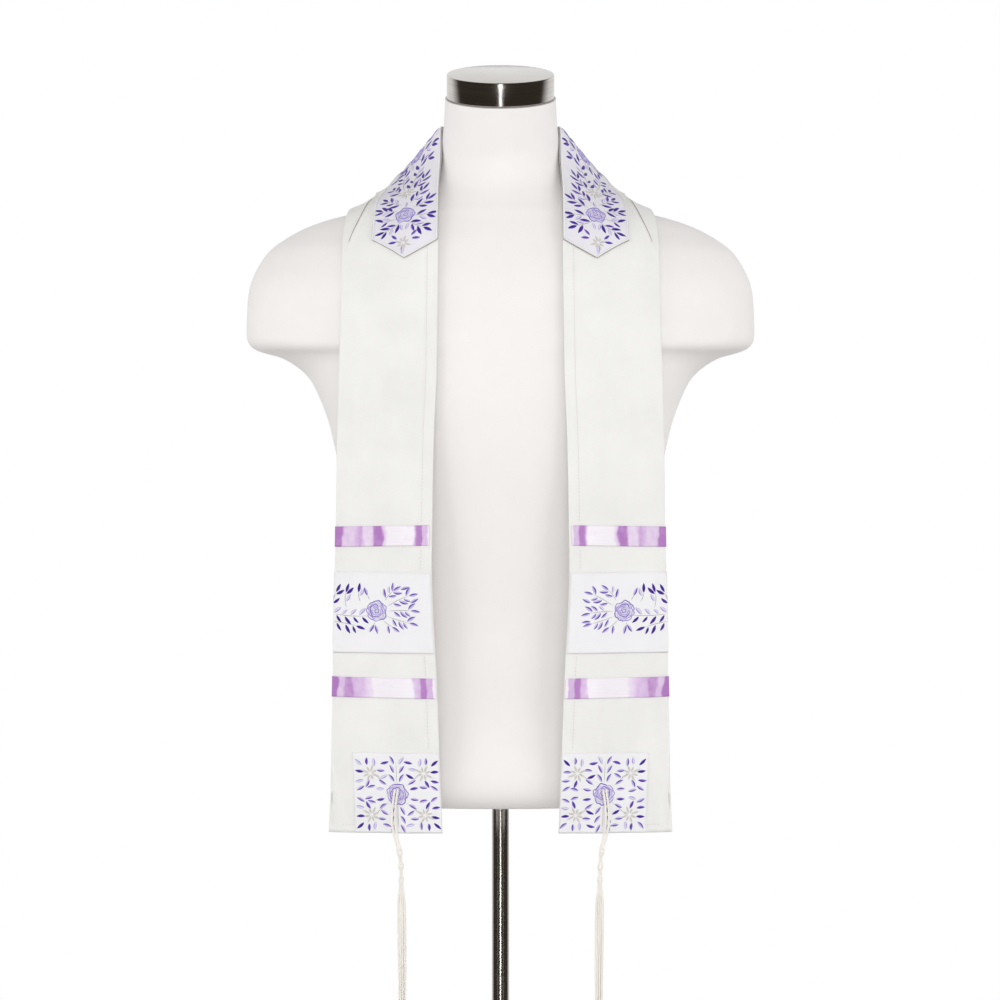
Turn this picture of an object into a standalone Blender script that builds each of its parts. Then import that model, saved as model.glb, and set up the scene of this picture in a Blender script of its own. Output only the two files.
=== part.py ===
"""Tallit prayer shawl laid round the neck of a limbless dress form on a pole stand.

+Z is up, the front faces -Y and the origin is the centre of the stand's underside.
Tables are in millimetres. Blender's own units are metres.
"""

import math

import bmesh
import bpy
import numpy as np

MM = 0.001

# The cloth, folded lengthwise into four layers: the front one and a bundle of three behind it.
LAYER = 1.0
LAYER_GAP = 0.7
BUNDLE = 2.6
STACK = LAYER + LAYER_GAP + BUNDLE
FOLD_ROUND = 0.6
FOLD_NOTCH = 1.6
FOLD_GROOVE = 0.15
BUNDLE_ROUND = 0.5
FOLD_WALL = 2.2
EDGE_SETBACK = 1.6

# The front layer's crease over the shoulder, which steps down to the flank outside it.
CREASE_STEP = 0.9
CREASE_RUN = 0.8
FULL_CREASE_FLANK = 16.0
NARROWEST_FLANK = 4.0

# The soft lengthwise waves of the falls: depth, and length and first crest as shares of the width.
WAVE_DEPTH = 1.1
WAVE_LENGTH = 0.48
WAVE_CREST = 0.33

# Pieces sewn on the cloth. Heights are measured up from the hem, widths in from the neck edge.
SEWN_GAP = 0.3
SEWN_THICKNESS = 1.0
SEWN_INSET = 0.6
BAND_STEP = 26.0
RIBBON_WIDTH = 19.5
PANEL_HEIGHT = 78.0
CORNER_WIDTH = 84.0
CORNER_HEIGHT = 77.0
NECKBAND_WIDTH = 66.0
NECKBAND_END = 554.0
NECKBAND_POINTS = (15.0, 25.0)  # rise from the tip to the inner and to the outer corner
NECKBAND_RIM = 2.6
NECKBAND_RIM_STEP = 0.9
NECKBAND_RIM_HEIGHT = 0.8
NECKBAND_GAP = 0.5
NECKBAND_END_GAP = 0.95  # at the pointed ends, where the facets run slantwise over the cloth's
NECKBAND_BLEND = 8.0
ACROSS = (11.0, 32.0, 54.0, NECKBAND_WIDTH)

# The fringe tied through each front corner: a knotted head and eight strands hung from its end.
FRINGE_ROOT = 42.0
FRINGE_LENGTH = 236.0
FRINGE_STRANDS = 8
FRINGE_COLUMNS = 4
FRINGE_STRAND_RADIUS = 1.0
FRINGE_STRAND_SINK = 3.0
FRINGE_STRAND_STEPS = 9
FRINGE_SPREAD = (2.15, 2.5)
FRINGE_GATHER = 0.86
FRINGE_SWAY = 1.1
FRINGE_SWAY_TURN = 5.0
FRINGE_UNEVENNESS = 6.0

# The stand: a turned base, a plain pole and the form's steel neck cap.
BASE_RADIUS = 166.0
HUB_HEIGHT = 30.0
POLE_RADIUS = 8.7
POLE_SIDES = 24
BORE_RADIUS = 9.1
BORE_FLOOR = 4.0
SOCKET_DEPTH = 64.0
CAP_RADIUS = 53.4
CAP_HEIGHT = 24.0
CAP_EDGE = 1.2
CAP_SIDES = 48
NECK_LEAN = 18.0
FORM_SIDES = 40

FORM_COLUMNS = ("height", "half_width", "centre", "front", "back", "fullness", "taper", "lean")
FORM_SECTIONS = (
    (861, 147, 0, 98, 92, 2.4, 0.50, 0),
    (865, 152, 0, 103, 97, 2.4, 0.50, 0),
    (930, 151, 0, 104, 96, 2.4, 0.50, 0),
    (1000, 145, 0, 102, 92, 2.3, 0.50, 0),
    (1060, 142, 0, 101, 91, 2.3, 0.50, 0),
    (1110, 146, 0, 105, 94, 2.4, 0.50, 0),
    (1160, 154, 0, 111, 99, 2.5, 0.50, 0),
    (1200, 163, 0, 116, 104, 2.6, 0.50, 0),
    (1242, 173, 0, 118.5, 108, 2.75, 0.50, 0),
    (1266, 182.5, 0, 119, 109.5, 2.8, 0.50, 0),
    (1280, 190, 0, 119, 110, 2.7, 0.50, 0),
    (1293, 203.5, 0, 118.5, 110, 2.4, 0.52, 0),
    (1303, 222, 0, 118, 110, 2.2, 0.51, 0),
    (1308, 240, 0, 118, 110, 2.1, 0.50, 0),
    (1314, 250, 0, 117.5, 109.5, 2.1, 0.50, 0),
    (1335, 253.7, 1, 115, 108, 2.0, 0.50, 0),
    (1360, 252.5, 2, 111, 105, 2.0, 0.51, 0),
    (1377, 249.5, 2.5, 107, 102, 2.0, 0.53, 0),
    (1392, 243, 3, 102, 99, 2.0, 0.57, 0),
    (1407, 233, 3.5, 97, 95, 2.0, 0.62, 0),
    (1420, 217, 4, 92, 90, 2.0, 0.70, 0),
    (1428, 203.5, 4.5, 88.5, 86.5, 2.0, 0.73, 0),
    (1435, 188, 5, 85, 84, 2.0, 0.74, 0),
    (1441, 170, 5, 82, 82, 2.0, 0.74, 0),
    (1447, 146, 5.5, 79, 79, 2.0, 0.72, 0),
    (1452, 126, 6, 76, 77, 2.0, 0.66, 0),
    (1460, 103, 6, 71, 74, 2.0, 0.58, 0),
    (1470, 84, 6, 66, 70, 2.0, 0.52, 1),
    (1484, 70, 4, 61, 66, 2.0, 0.50, 3),
    (1500, 62, 0, 57, 62, 2.0, 0.50, 6),
    (1520, 58, -7, 55.5, 58, 2.0, 0.50, 10),
    (1540, 56, -14, 54.5, 56, 2.0, 0.50, 14),
    (1559, 55, -20, 54, 54, 2.0, 0.50, 18),
)

# The cloth's line from the nape to the right hem. The other half is its mirror image.
SHAWL_COLUMNS = ("inner", "outer", "bulge", "flank", "ridge", "wave")
SHAWL_SECTIONS = (
    ((0, 57, 1532), (0, 100, 1429), 2.0, 4, 0.0, 0.0),
    ((32, 48, 1533), (62, 95, 1431), 2.0, 4, 0.0, 0.0),
    ((54.5, 24, 1535), (111, 76, 1442), 0.0, 12, 1.0, 0.0),
    ((61.8, -3, 1533), (139, 40, 1451), -5.0, 24, 2.2, 0.0),
    ((61.4, -26, 1504), (149.5, 2, 1452.4), -6.5, 28, 1.6, 0.0),
    ((60.8, -48, 1474), (153, -36, 1441), -2.0, 23, 2.6, 0.0),
    ((60.6, -71, 1449.5), (154.5, -57, 1426), 0.0, 16, 2.0, 0.1),
    ((60.5, -90, 1422.5), (155, -73.5, 1405), 3.0, 6, 0.5, 0.2),
    ((60.5, -102.5, 1390), (155.3, -84, 1382), 3.0, 4, 0.0, 0.3),
    ((60.6, -112.5, 1357), (155.5, -92.5, 1353), 3.0, 4, 0.0, 0.4),
    ((61.0, -119, 1320), (156, -99.5, 1319), 3.0, 4, 0.0, 0.5),
    ((61.6, -122.5, 1278), (157, -103.5, 1278), 3.0, 4, 0.0, 0.6),
    ((63.7, -123, 1230), (158.3, -104.5, 1230), 3.0, 4, 0.0, 0.8),
    ((65.7, -123, 1136), (159.7, -104.5, 1136), 2.5, 4, 0.0, 1.0),
    ((66.2, -123, 1090), (160.6, -105, 1090), 2.5, 4, 0.0, 1.0),
    ((62.8, -123, 1013), (162.1, -106, 1013), 2.5, 4, 0.0, 1.0),
    ((61.1, -123, 978), (162.8, -106.5, 978), 2.5, 4, 0.0, 1.1),
    ((58.7, -123, 914), (164, -108, 914), 2.0, 4, 0.0, 1.2),
    ((55.7, -123, 840), (166, -109, 840), 2.0, 4, 0.0, 1.3),
)

# Distances up from the hem at which the cloth has a ring of points, below the chest.
FALL_RINGS = (0, 26, 52, 77, 103, 129.5, 149, 173, 199, 225, 250, 276, 295, 327, 360, 393, 422, 446)
CHEST_SPACING = 16.0
CHEST_END = 560.0
NECK_SPACING = 11.0

# Each band across the cloth: lower edge at the neck side and at the outer side, and its height.
BAND_COLUMNS = ("name", "inner_edge", "outer_edge", "height", "material")
BANDS = (
    ("ribbon_upper", 276.3, 274.9, RIBBON_WIDTH, "satin_ribbon"),
    ("panel", 172.2, 173.1, PANEL_HEIGHT, "panel_cloth"),
    ("ribbon_lower", 129.0, 130.5, RIBBON_WIDTH, "satin_ribbon"),
)

# The way the fringe hangs. Columns: height above the hem, distance in from the neck edge.
FRINGE_HANG = (
    (42.0, 42.3),
    (0.0, 45.0),
    (-14.0, 41.5),
    (-26.0, 39.8),
    (-44.0, 39.2),
    (-116.0, 38.4),
    (-240.0, 38.0),
)

# The fringe's knots and windings. Columns: distance down from its root, radius.
FRINGE_HEAD = (
    (0.0, 1.2),
    (4.0, 2.0),
    (41.0, 2.2),
    (50.0, 2.3),
    (56.0, 1.9),
    (59.0, 2.9),
    (63.0, 2.9),
    (66.0, 2.1),
    (71.0, 2.0),
    (74.0, 3.0),
    (78.0, 3.1),
    (80.0, 2.3),
    (83.0, 3.2),
    (86.0, 4.2),
    (89.0, 3.8),
)
HEAD_SIDES = 8

MATERIALS = {
    "form_shell": ((0.89, 0.87, 0.85), 0.45, 0.0),
    "brushed_steel": ((0.55, 0.53, 0.50), 0.28, 1.0),
    "shawl_cloth": ((0.86, 0.86, 0.83), 0.85, 0.0),
    "panel_cloth": ((0.88, 0.87, 0.88), 0.80, 0.0),
    "satin_ribbon": ((0.66, 0.42, 0.76), 0.30, 0.0),
    "neckband_cloth": ((0.84, 0.82, 0.87), 0.75, 0.0),
    "fringe_wool": ((0.90, 0.88, 0.83), 0.90, 0.0),
}


def clear_scene():
    for item in list(bpy.data.objects):
        bpy.data.objects.remove(item, do_unlink=True)


def collection(name):
    made = bpy.data.collections.new(name)
    bpy.context.scene.collection.children.link(made)
    return made


def material(name):
    colour, roughness, metallic = MATERIALS[name]
    made = bpy.data.materials.get(name)
    if made is None:
        made = bpy.data.materials.new(name)
        made.use_nodes = True
        shader = made.node_tree.nodes["Principled BSDF"]
        shader.inputs["Base Color"].default_value = (*colour, 1.0)
        shader.inputs["Roughness"].default_value = roughness
        shader.inputs["Metallic"].default_value = metallic
    return made


def link(name, mesh, finish, group, smooth_angle=35.0):
    """An object of that mesh, in the group, with its finish and smooth shading."""
    made = bpy.data.objects.new(name, mesh)
    made.data.materials.append(material(finish))
    made.data.shade_smooth()
    made.data.set_sharp_from_angle(angle=math.radians(smooth_angle))
    group.objects.link(made)
    return made


def smooth_curve(knots, values):
    """A natural cubic spline through the values, as a function of the knot parameter."""
    knots = np.asarray(knots, float)
    values = np.asarray(values, float).reshape(len(knots), -1)
    step = np.diff(knots)
    slope = np.diff(values, axis=0) / step[:, None]
    system = np.eye(len(knots))
    right = np.zeros_like(values)
    for i in range(1, len(knots) - 1):
        system[i, i - 1] = step[i - 1]
        system[i, i] = 2 * (step[i - 1] + step[i])
        system[i, i + 1] = step[i]
        right[i] = 6 * (slope[i] - slope[i - 1])
    bend = np.linalg.solve(system, right)

    def value(at):
        i = int(np.clip(np.searchsorted(knots, at) - 1, 0, len(step) - 1))
        a = (knots[i + 1] - at) / step[i]
        b = 1 - a
        curve = ((a**3 - a) * bend[i] + (b**3 - b) * bend[i + 1]) * step[i] ** 2 / 6
        return a * values[i] + b * values[i + 1] + curve

    return value


def finished_mesh(name, work):
    bmesh.ops.recalc_face_normals(work, faces=work.faces)
    mesh = bpy.data.meshes.new(name)
    work.to_mesh(mesh)
    work.free()
    return mesh


def half_quads(work, a, b, c, d, mirrored):
    """Two triangles of a quad, split alike on all the layers so that twisted layers stay parallel."""
    if mirrored:
        work.faces.new((a, b, d))
        work.faces.new((b, c, d))
    else:
        work.faces.new((a, b, c))
        work.faces.new((a, c, d))


def rings_to_mesh(name, rings):
    """A closed skin over rings of equal point counts, with flat ends and mirrored halves."""
    work = bmesh.new()
    rows = [[work.verts.new(np.asarray(p) * MM) for p in ring] for ring in rings]
    count = len(rows[0])
    for r, (one, two) in enumerate(zip(rows, rows[1:])):
        for i in range(count):
            j = (i + 1) % count
            half_quads(work, one[i], one[j], two[j], two[i], 2 * r >= len(rows) - 1)
    work.faces.new(tuple(reversed(rows[0])))
    work.faces.new(tuple(rows[-1]))
    return finished_mesh(name, work)


def plate(name, outer, inner, mirror_from=0):
    """A closed wall between two grids of points of the same size, outer[row][column]."""
    work = bmesh.new()
    grids = [[[work.verts.new(np.asarray(p) * MM) for p in row] for row in grid] for grid in (outer, inner)]
    rows, columns = len(outer), len(outer[0])
    for grid in grids:
        for r in range(rows - 1):
            for c in range(columns - 1):
                corners = (grid[r][c], grid[r][c + 1], grid[r + 1][c + 1], grid[r + 1][c])
                half_quads(work, *corners, r >= mirror_from)
    border = [(0, c) for c in range(columns - 1)]
    border += [(r, columns - 1) for r in range(rows - 1)]
    border += [(rows - 1, c) for c in range(columns - 1, 0, -1)]
    border += [(r, 0) for r in range(rows - 1, 0, -1)]
    for (r, c), (r2, c2) in zip(border, border[1:] + border[:1]):
        work.faces.new((grids[0][r2][c2], grids[0][r][c], grids[1][r][c], grids[1][r2][c2]))
    return finished_mesh(name, work)


class Drape:
    """The cloth's front face as it hangs: a line of cross-sections from the left hem to the right."""

    def __init__(self):
        half = [dict(zip(SHAWL_COLUMNS, row)) for row in SHAWL_SECTIONS]
        mirrored = [self.mirror(row) for row in reversed(half[1:])]
        rows = mirrored + half
        inner = np.array([row["inner"] for row in rows], float)
        outer = np.array([row["outer"] for row in rows], float)
        middle = (inner + outer) / 2
        steps = np.linalg.norm(np.diff(middle, axis=0), axis=1)
        knots = np.concatenate([[0.0], np.cumsum(steps)])
        shape = np.array([[row[k] for k in SHAWL_COLUMNS[2:]] for row in rows], float)
        self.length = float(knots[-1])
        self.inner = smooth_curve(knots, inner)
        self.outer = smooth_curve(knots, outer)
        self.shape = smooth_curve(knots, shape)

    @staticmethod
    def mirror(row):
        flipped = dict(row)
        for edge in ("inner", "outer"):
            x, y, z = row[edge]
            flipped[edge] = (-x, y, z)
        return flipped

    def place(self, side, height):
        """The distance along the cloth of a height above one hem: side -1 is the left, 1 the right."""
        return height if side < 0 else self.length - height

    def section(self, along):
        """The neck edge, the vector across, the outward direction, the width and the shape values."""
        inner, outer = self.inner(along), self.outer(along)
        ahead = min(along + 1.0, self.length)
        behind = max(along - 1.0, 0.0)
        direction = (self.inner(ahead) + self.outer(ahead)) - (self.inner(behind) + self.outer(behind))
        across = outer - inner
        outward = np.cross(direction, across)
        outward /= np.linalg.norm(outward)
        width = float(np.linalg.norm(across))
        return inner, across / width, outward, width, self.shape(along)

    def crease(self, along):
        """How far from the neck edge the front layer's fold lies."""
        _, _, _, width, (_, flank, _, _) = self.section(along)
        return width - max(flank, NARROWEST_FLANK)

    def width(self, along):
        return self.section(along)[3]

    def point(self, along, across, out=0.0):
        """A point so far in from the neck edge, moved out from the front face."""
        inner, direction, outward, width, (bulge, flank, ridge, wave) = self.section(along)
        share = across / width
        crease = width - max(flank, NARROWEST_FLANK)
        if across <= crease:
            rise = max(across, 0.0) / crease
            lift = ridge * rise * rise * (3 - 2 * rise)
        else:
            lift = ridge * max(0.0, (width - across) / (width - crease))
        lift += bulge * 4 * share * (1 - share)
        lift += wave * WAVE_DEPTH * math.cos(2 * math.pi * (share - WAVE_CREST) / WAVE_LENGTH)
        return inner + direction * across + outward * (lift + out)

    def samples(self, along):
        """Where each cross-section has its points, from the neck edge to the crease."""
        crease = self.crease(along)
        beyond = NECKBAND_WIDTH + 0.45 * (crease - NECKBAND_WIDTH)
        return (0.0, *ACROSS, beyond, crease)

    def heights(self):
        """Distances from one hem of the rings of one half, up to the nape."""
        nape = self.length / 2
        found = list(FALL_RINGS)
        count = round((CHEST_END - found[-1]) / CHEST_SPACING)
        found += [found[-1] + (CHEST_END - found[-1]) * i / count for i in range(1, count + 1)]
        count = round((nape - CHEST_END) / NECK_SPACING)
        found += [CHEST_END + (nape - CHEST_END) * i / count for i in range(1, count)]
        return found


def shawl_ring(drape, along):
    """The outline across the folded cloth: the front layer, its fold, and the bundle behind it."""
    samples = drape.samples(along)
    width = drape.width(along)
    flank = width - samples[-1]
    step = CREASE_STEP * min(1.0, flank / FULL_CREASE_FLANK) if flank > NARROWEST_FLANK + 1.0 else 0.0
    top = -(LAYER + LAYER_GAP)
    bottom = -STACK
    first_fold = top - BUNDLE / 3
    last_layer = bottom + BUNDLE / 3

    def at(across, out):
        return drape.point(along, across, out)

    front = [at(across, 0.0) for across in samples]
    fold = [
        at(samples[-1] + CREASE_RUN, -step),
        at(width - FOLD_ROUND, -step),
        at(width, first_fold / 2),
        at(width - FOLD_ROUND, first_fold),
        at(width - FOLD_NOTCH, first_fold - FOLD_GROOVE),
        at(width - BUNDLE_ROUND, first_fold - BUNDLE_ROUND),
        at(width - BUNDLE_ROUND, bottom + BUNDLE_ROUND),
        at(width - 2 * BUNDLE_ROUND, bottom),
    ]
    back = [at(across, bottom) for across in reversed(samples[1:])]
    free_edges = [
        at(EDGE_SETBACK + 2 * BUNDLE_ROUND, bottom),
        at(EDGE_SETBACK + 2 * BUNDLE_ROUND, last_layer),
        at(EDGE_SETBACK + 4 * BUNDLE_ROUND, last_layer + FOLD_GROOVE),
        at(EDGE_SETBACK, last_layer + BUNDLE_ROUND),
        at(EDGE_SETBACK, top - BUNDLE_ROUND),
        at(EDGE_SETBACK + FOLD_ROUND, top),
    ]
    inside = [at(across, top) for across in samples[1:]]
    inside += [at(width - FOLD_WALL, top), at(width - FOLD_WALL, -LAYER - step)]
    inside += [at(across, -LAYER) for across in reversed(samples)]
    return front + fold + back + free_edges + inside


def build_shawl(drape, group):
    heights = drape.heights()
    nape = drape.length / 2
    alongs = [drape.place(-1, h) for h in heights] + [nape]
    alongs += [drape.place(1, h) for h in reversed(heights)]
    rings = [shawl_ring(drape, along) for along in alongs]
    return link("shawl_cloth", rings_to_mesh("shawl_cloth", rings), "shawl_cloth", group)


def build_band(drape, side, band, group):
    """A ribbon or panel right across the cloth, turned round its outer fold."""
    item = dict(zip(BAND_COLUMNS, band))
    name = f"{item['name']}_{'left' if side < 0 else 'right'}"
    wrap_depth = -(LAYER + LAYER_GAP + BUNDLE / 3)
    width = drape.width(drape.place(side, item["inner_edge"]))
    samples = drape.samples(drape.place(side, item["inner_edge"] + item["height"] / 2))
    count = max(1, round(item["height"] / BAND_STEP))
    walls = []
    for out in (SEWN_GAP + SEWN_THICKNESS, SEWN_GAP):
        rows = []
        for i in range(count + 1):
            up = item["height"] * i / count
            row = []
            for across in (*samples, samples[-1] + CREASE_RUN, width - SEWN_INSET):
                share = across / width
                low = item["inner_edge"] * (1 - share) + item["outer_edge"] * share
                row.append(drape.point(drape.place(side, low + up), across, out))
            along = drape.place(side, item["outer_edge"] + up)
            edge = drape.width(along) + out
            row.append(drape.point(along, edge, wrap_depth / 2))
            row.append(drape.point(along, edge, wrap_depth))
            rows.append(row)
        walls.append(rows)
    return link(name, plate(name, *walls), item["material"], group)


def build_corner(drape, side, group):
    """The square patch at a front corner, flush with the neck edge and the hem."""
    name = f"corner_{'left' if side < 0 else 'right'}"
    columns = [SEWN_INSET, *ACROSS, CORNER_WIDTH]
    rows = [max(h, SEWN_INSET) for h in FALL_RINGS if h <= CORNER_HEIGHT]
    walls = [
        [[drape.point(drape.place(side, h), across, out) for across in columns] for h in rows]
        for out in (SEWN_GAP + SEWN_THICKNESS, SEWN_GAP)
    ]
    return link(name, plate(name, *walls), "panel_cloth", group)


def build_neckband(drape, group):
    """The band along the neck edge, pointed at both ends, with a raised rim all round."""
    rim = NECKBAND_RIM
    rim_foot = rim + NECKBAND_RIM_STEP
    columns = [SEWN_INSET, rim, rim_foot, *ACROSS[:-1]]
    columns += [NECKBAND_WIDTH - rim_foot, NECKBAND_WIDTH - rim, NECKBAND_WIDTH]
    middle = NECKBAND_WIDTH / 2
    square_end = NECKBAND_END + NECKBAND_POINTS[1]

    def end(across, inset):
        rise = NECKBAND_POINTS[0] if across < middle else NECKBAND_POINTS[1]
        return NECKBAND_END + rise * min(1.0, abs(across - middle) / middle) + inset

    insets = (0.0, rim, rim_foot)
    straight = [h for h in drape.heights() if h > square_end + rim_foot + NECKBAND_BLEND]
    halves = []
    for side in (-1, 1):
        ends = [[end(across, inset) for across in columns] for inset in insets]
        for part in (0.25, 0.5, 0.75):
            ends.append([low + (straight[0] - low) * part for low in ends[2]])
        lines = [[drape.place(side, h) for h in line] for line in ends]
        lines += [[drape.place(side, h)] * len(columns) for h in straight]
        halves.append(lines)
    lines = halves[0] + [[drape.length / 2] * len(columns)] + halves[1][::-1]
    end_rows = len(ends)
    raised_rows = {0, 1, len(lines) - 2, len(lines) - 1}
    raised_columns = {0, 1, len(columns) - 2, len(columns) - 1}
    outer, inner = [], []
    for r, line in enumerate(lines):
        outer_row, inner_row = [], []
        at_end = r < end_rows or r >= len(lines) - end_rows
        gap = NECKBAND_END_GAP if at_end else NECKBAND_GAP
        for c, (along, across) in enumerate(zip(line, columns)):
            rise = NECKBAND_RIM_HEIGHT if r in raised_rows or c in raised_columns else 0.0
            outer_row.append(drape.point(along, across, gap + SEWN_THICKNESS + rise))
            inner_row.append(drape.point(along, across, gap))
        outer.append(outer_row)
        inner.append(inner_row)
    return link("neckband", plate("neckband", outer, inner, len(lines) // 2), "neckband_cloth", group)


def circle(centre, one, two, radius, sides, turn=0.0):
    angles = [2 * math.pi * i / sides + turn for i in range(sides)]
    return [centre + radius * (math.cos(a) * one + math.sin(a) * two) for a in angles]


def fringe_middle(drape, side, height):
    """The middle of the fringe at a height above the hem: over the corner patch, or hanging below it."""
    heights, acrosses = np.array(FRINGE_HANG[::-1], float).T
    across = float(np.interp(height, heights, acrosses))
    proud = SEWN_GAP + SEWN_THICKNESS + SEWN_GAP
    middle = drape.point(drape.place(side, max(height, 1.0)), across, proud)
    middle[2] += min(height - 1.0, 0.0)
    return middle


def build_fringe(drape, side, group, cutters):
    """A corner's fringe: a knotted head down the corner patch, and strands fused into its end."""
    name = f"fringe_{'left' if side < 0 else 'right'}"
    one, two = np.array((1.0, 0.0, 0.0)), np.array((0.0, 1.0, 0.0))
    rings = []
    for down, radius in FRINGE_HEAD:
        middle = fringe_middle(drape, side, FRINGE_ROOT - down) - two * radius
        rings.append(circle(middle, one, two, radius, HEAD_SIDES, math.pi / HEAD_SIDES))
    head = link(name, rings_to_mesh(name, rings), "fringe_wool", group)
    top = FRINGE_ROOT - FRINGE_HEAD[-1][0] + FRINGE_STRAND_SINK
    depth = two * FRINGE_HEAD[-1][1]
    gap_x, gap_y = FRINGE_SPREAD
    for i in range(FRINGE_STRANDS):
        column, row = i % FRINGE_COLUMNS, i // FRINGE_COLUMNS
        shift = one * (column - (FRINGE_COLUMNS - 1) / 2) * gap_x + two * (row - 0.5) * gap_y
        tip = -FRINGE_LENGTH + FRINGE_UNEVENNESS * (i % 3)
        strand = []
        for j in range(FRINGE_STRAND_STEPS + 1):
            share = j / FRINGE_STRAND_STEPS
            middle = fringe_middle(drape, side, top + (tip - top) * share) - depth
            sway = one * side * FRINGE_SWAY * math.sin(FRINGE_SWAY_TURN * share) * min(1.0, 3 * share)
            middle = middle + shift * (FRINGE_GATHER + (1 - FRINGE_GATHER) * share) + sway
            strand.append(circle(middle, one, two, FRINGE_STRAND_RADIUS, 4, math.pi / 4))
        piece = link(f"{name}_strand_{i}", rings_to_mesh("strand", strand), "fringe_wool", cutters)
        piece.hide_render = True
        piece.display_type = "WIRE"
        join = head.modifiers.new("join", "BOOLEAN")
        join.operation = "UNION"
        join.object = piece
    return head


def form_ring(section):
    """A level outline of the form: rounder or squarer by its fullness and taper, tilted by its lean."""
    item = dict(zip(FORM_COLUMNS, section))
    ring = []
    for i in range(FORM_SIDES):
        angle = 2 * math.pi * (i + 0.5) / FORM_SIDES
        share = math.cos(angle)
        depth = (1 - abs(share) ** item["fullness"]) ** item["taper"]
        reach = item["back"] if math.sin(angle) > 0 else -item["front"]
        y = reach * depth
        z = item["height"] + y * math.tan(math.radians(item["lean"]))
        ring.append((share * item["half_width"], item["centre"] + y, z))
    return ring


def cylinder(name, radius, low, high, sides, finish, group, bevel=0.0):
    """An upright cylinder on the middle line, between two heights."""
    work = bmesh.new()
    bmesh.ops.create_cone(
        work,
        cap_ends=True,
        segments=sides,
        radius1=radius * MM,
        radius2=radius * MM,
        depth=(high - low) * MM,
    )
    mesh = bpy.data.meshes.new(name)
    work.to_mesh(mesh)
    work.free()
    made = link(name, mesh, finish, group)
    made.location = (0.0, 0.0, (low + high) / 2 * MM)
    if bevel:
        edge = made.modifiers.new("edge", "BEVEL")
        edge.width = bevel * MM
        edge.segments = 2
    return made


def build_form(group, cutters):
    """The torso and neck, smooth and limbless, with a blind socket for the pole."""
    rings = [form_ring(section) for section in FORM_SECTIONS]
    form = link("form_torso", rings_to_mesh("form_torso", rings), "form_shell", group, 60.0)
    bottom = FORM_SECTIONS[0][0]
    socket = cylinder(
        "socket_cutter", BORE_RADIUS, bottom - 5.0, bottom + SOCKET_DEPTH, POLE_SIDES, "form_shell", cutters
    )
    socket.hide_render = True
    socket.display_type = "WIRE"
    cut = form.modifiers.new("socket", "BOOLEAN")
    cut.operation = "DIFFERENCE"
    cut.object = socket
    return form


def build_cap(group):
    top = dict(zip(FORM_COLUMNS, FORM_SECTIONS[-1]))
    lean = math.radians(NECK_LEAN)
    rise = CAP_HEIGHT / 2 + SEWN_GAP
    cap = cylinder("neck_cap", CAP_RADIUS, 0.0, CAP_HEIGHT, CAP_SIDES, "brushed_steel", group, CAP_EDGE)
    cap.location = (
        0.0,
        (top["centre"] - math.sin(lean) * rise) * MM,
        (top["height"] + math.cos(lean) * rise) * MM,
    )
    cap.rotation_euler = (lean, 0.0, 0.0)
    return cap


def build_stand(group):
    """A round weighted base, turned in one piece, and a plain pole seated in it."""
    profile = (
        (0.0, BORE_FLOOR),
        (BORE_RADIUS, BORE_FLOOR),
        (BORE_RADIUS, HUB_HEIGHT),
        (13.0, HUB_HEIGHT),
        (15.0, HUB_HEIGHT - 2.0),
        (17.0, 15.0),
        (24.0, 12.0),
        (BASE_RADIUS - 8.0, 8.0),
        (BASE_RADIUS - 1.5, 5.5),
        (BASE_RADIUS, 3.0),
        (BASE_RADIUS, 1.0),
        (BASE_RADIUS - 1.0, 0.0),
        (0.0, 0.0),
    )
    work = bmesh.new()
    points = [work.verts.new((r * MM, 0.0, z * MM)) for r, z in profile]
    for one, two in zip(points, points[1:]):
        work.edges.new((one, two))
    mesh = bpy.data.meshes.new("stand_base")
    work.to_mesh(mesh)
    work.free()
    base = link("stand_base", mesh, "brushed_steel", group)
    turn = base.modifiers.new("turn", "SCREW")
    turn.axis = "Z"
    turn.steps = turn.render_steps = POLE_SIDES * 2
    turn.use_merge_vertices = True
    turn.merge_threshold = 0.00001
    turn.use_normal_calculate = True
    pole_top = FORM_SECTIONS[0][0] + SOCKET_DEPTH - SEWN_GAP
    cylinder("stand_pole", POLE_RADIUS, BORE_FLOOR + SEWN_GAP, pole_top, POLE_SIDES, "brushed_steel", group)


def main():
    clear_scene()
    group = collection("prayer_shawl_on_form")
    cutters = collection("cutters")
    build_form(group, cutters)
    build_cap(group)
    build_stand(group)
    drape = Drape()
    build_shawl(drape, group)
    build_neckband(drape, group)
    for side in (-1, 1):
        for band in BANDS:
            build_band(drape, side, band, group)
        build_corner(drape, side, group)
        build_fringe(drape, side, group, cutters)


main()
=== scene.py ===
import math
import random

import bmesh
import bpy
import numpy as np
from mathutils import Matrix, Vector


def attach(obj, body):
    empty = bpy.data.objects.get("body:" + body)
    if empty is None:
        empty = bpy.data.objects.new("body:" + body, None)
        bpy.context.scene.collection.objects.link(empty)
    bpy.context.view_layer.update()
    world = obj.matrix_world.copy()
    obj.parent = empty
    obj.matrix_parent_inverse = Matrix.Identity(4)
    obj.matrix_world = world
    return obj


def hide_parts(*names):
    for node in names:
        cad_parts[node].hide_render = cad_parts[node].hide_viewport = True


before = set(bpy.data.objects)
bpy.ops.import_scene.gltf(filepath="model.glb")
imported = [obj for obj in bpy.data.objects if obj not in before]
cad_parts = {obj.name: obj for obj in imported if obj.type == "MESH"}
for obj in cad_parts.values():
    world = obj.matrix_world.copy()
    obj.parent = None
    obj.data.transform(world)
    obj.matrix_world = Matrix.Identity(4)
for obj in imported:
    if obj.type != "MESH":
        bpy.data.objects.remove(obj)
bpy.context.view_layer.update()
mm = 0.001  # the tables below are in millimetres
pi = math.pi

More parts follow.
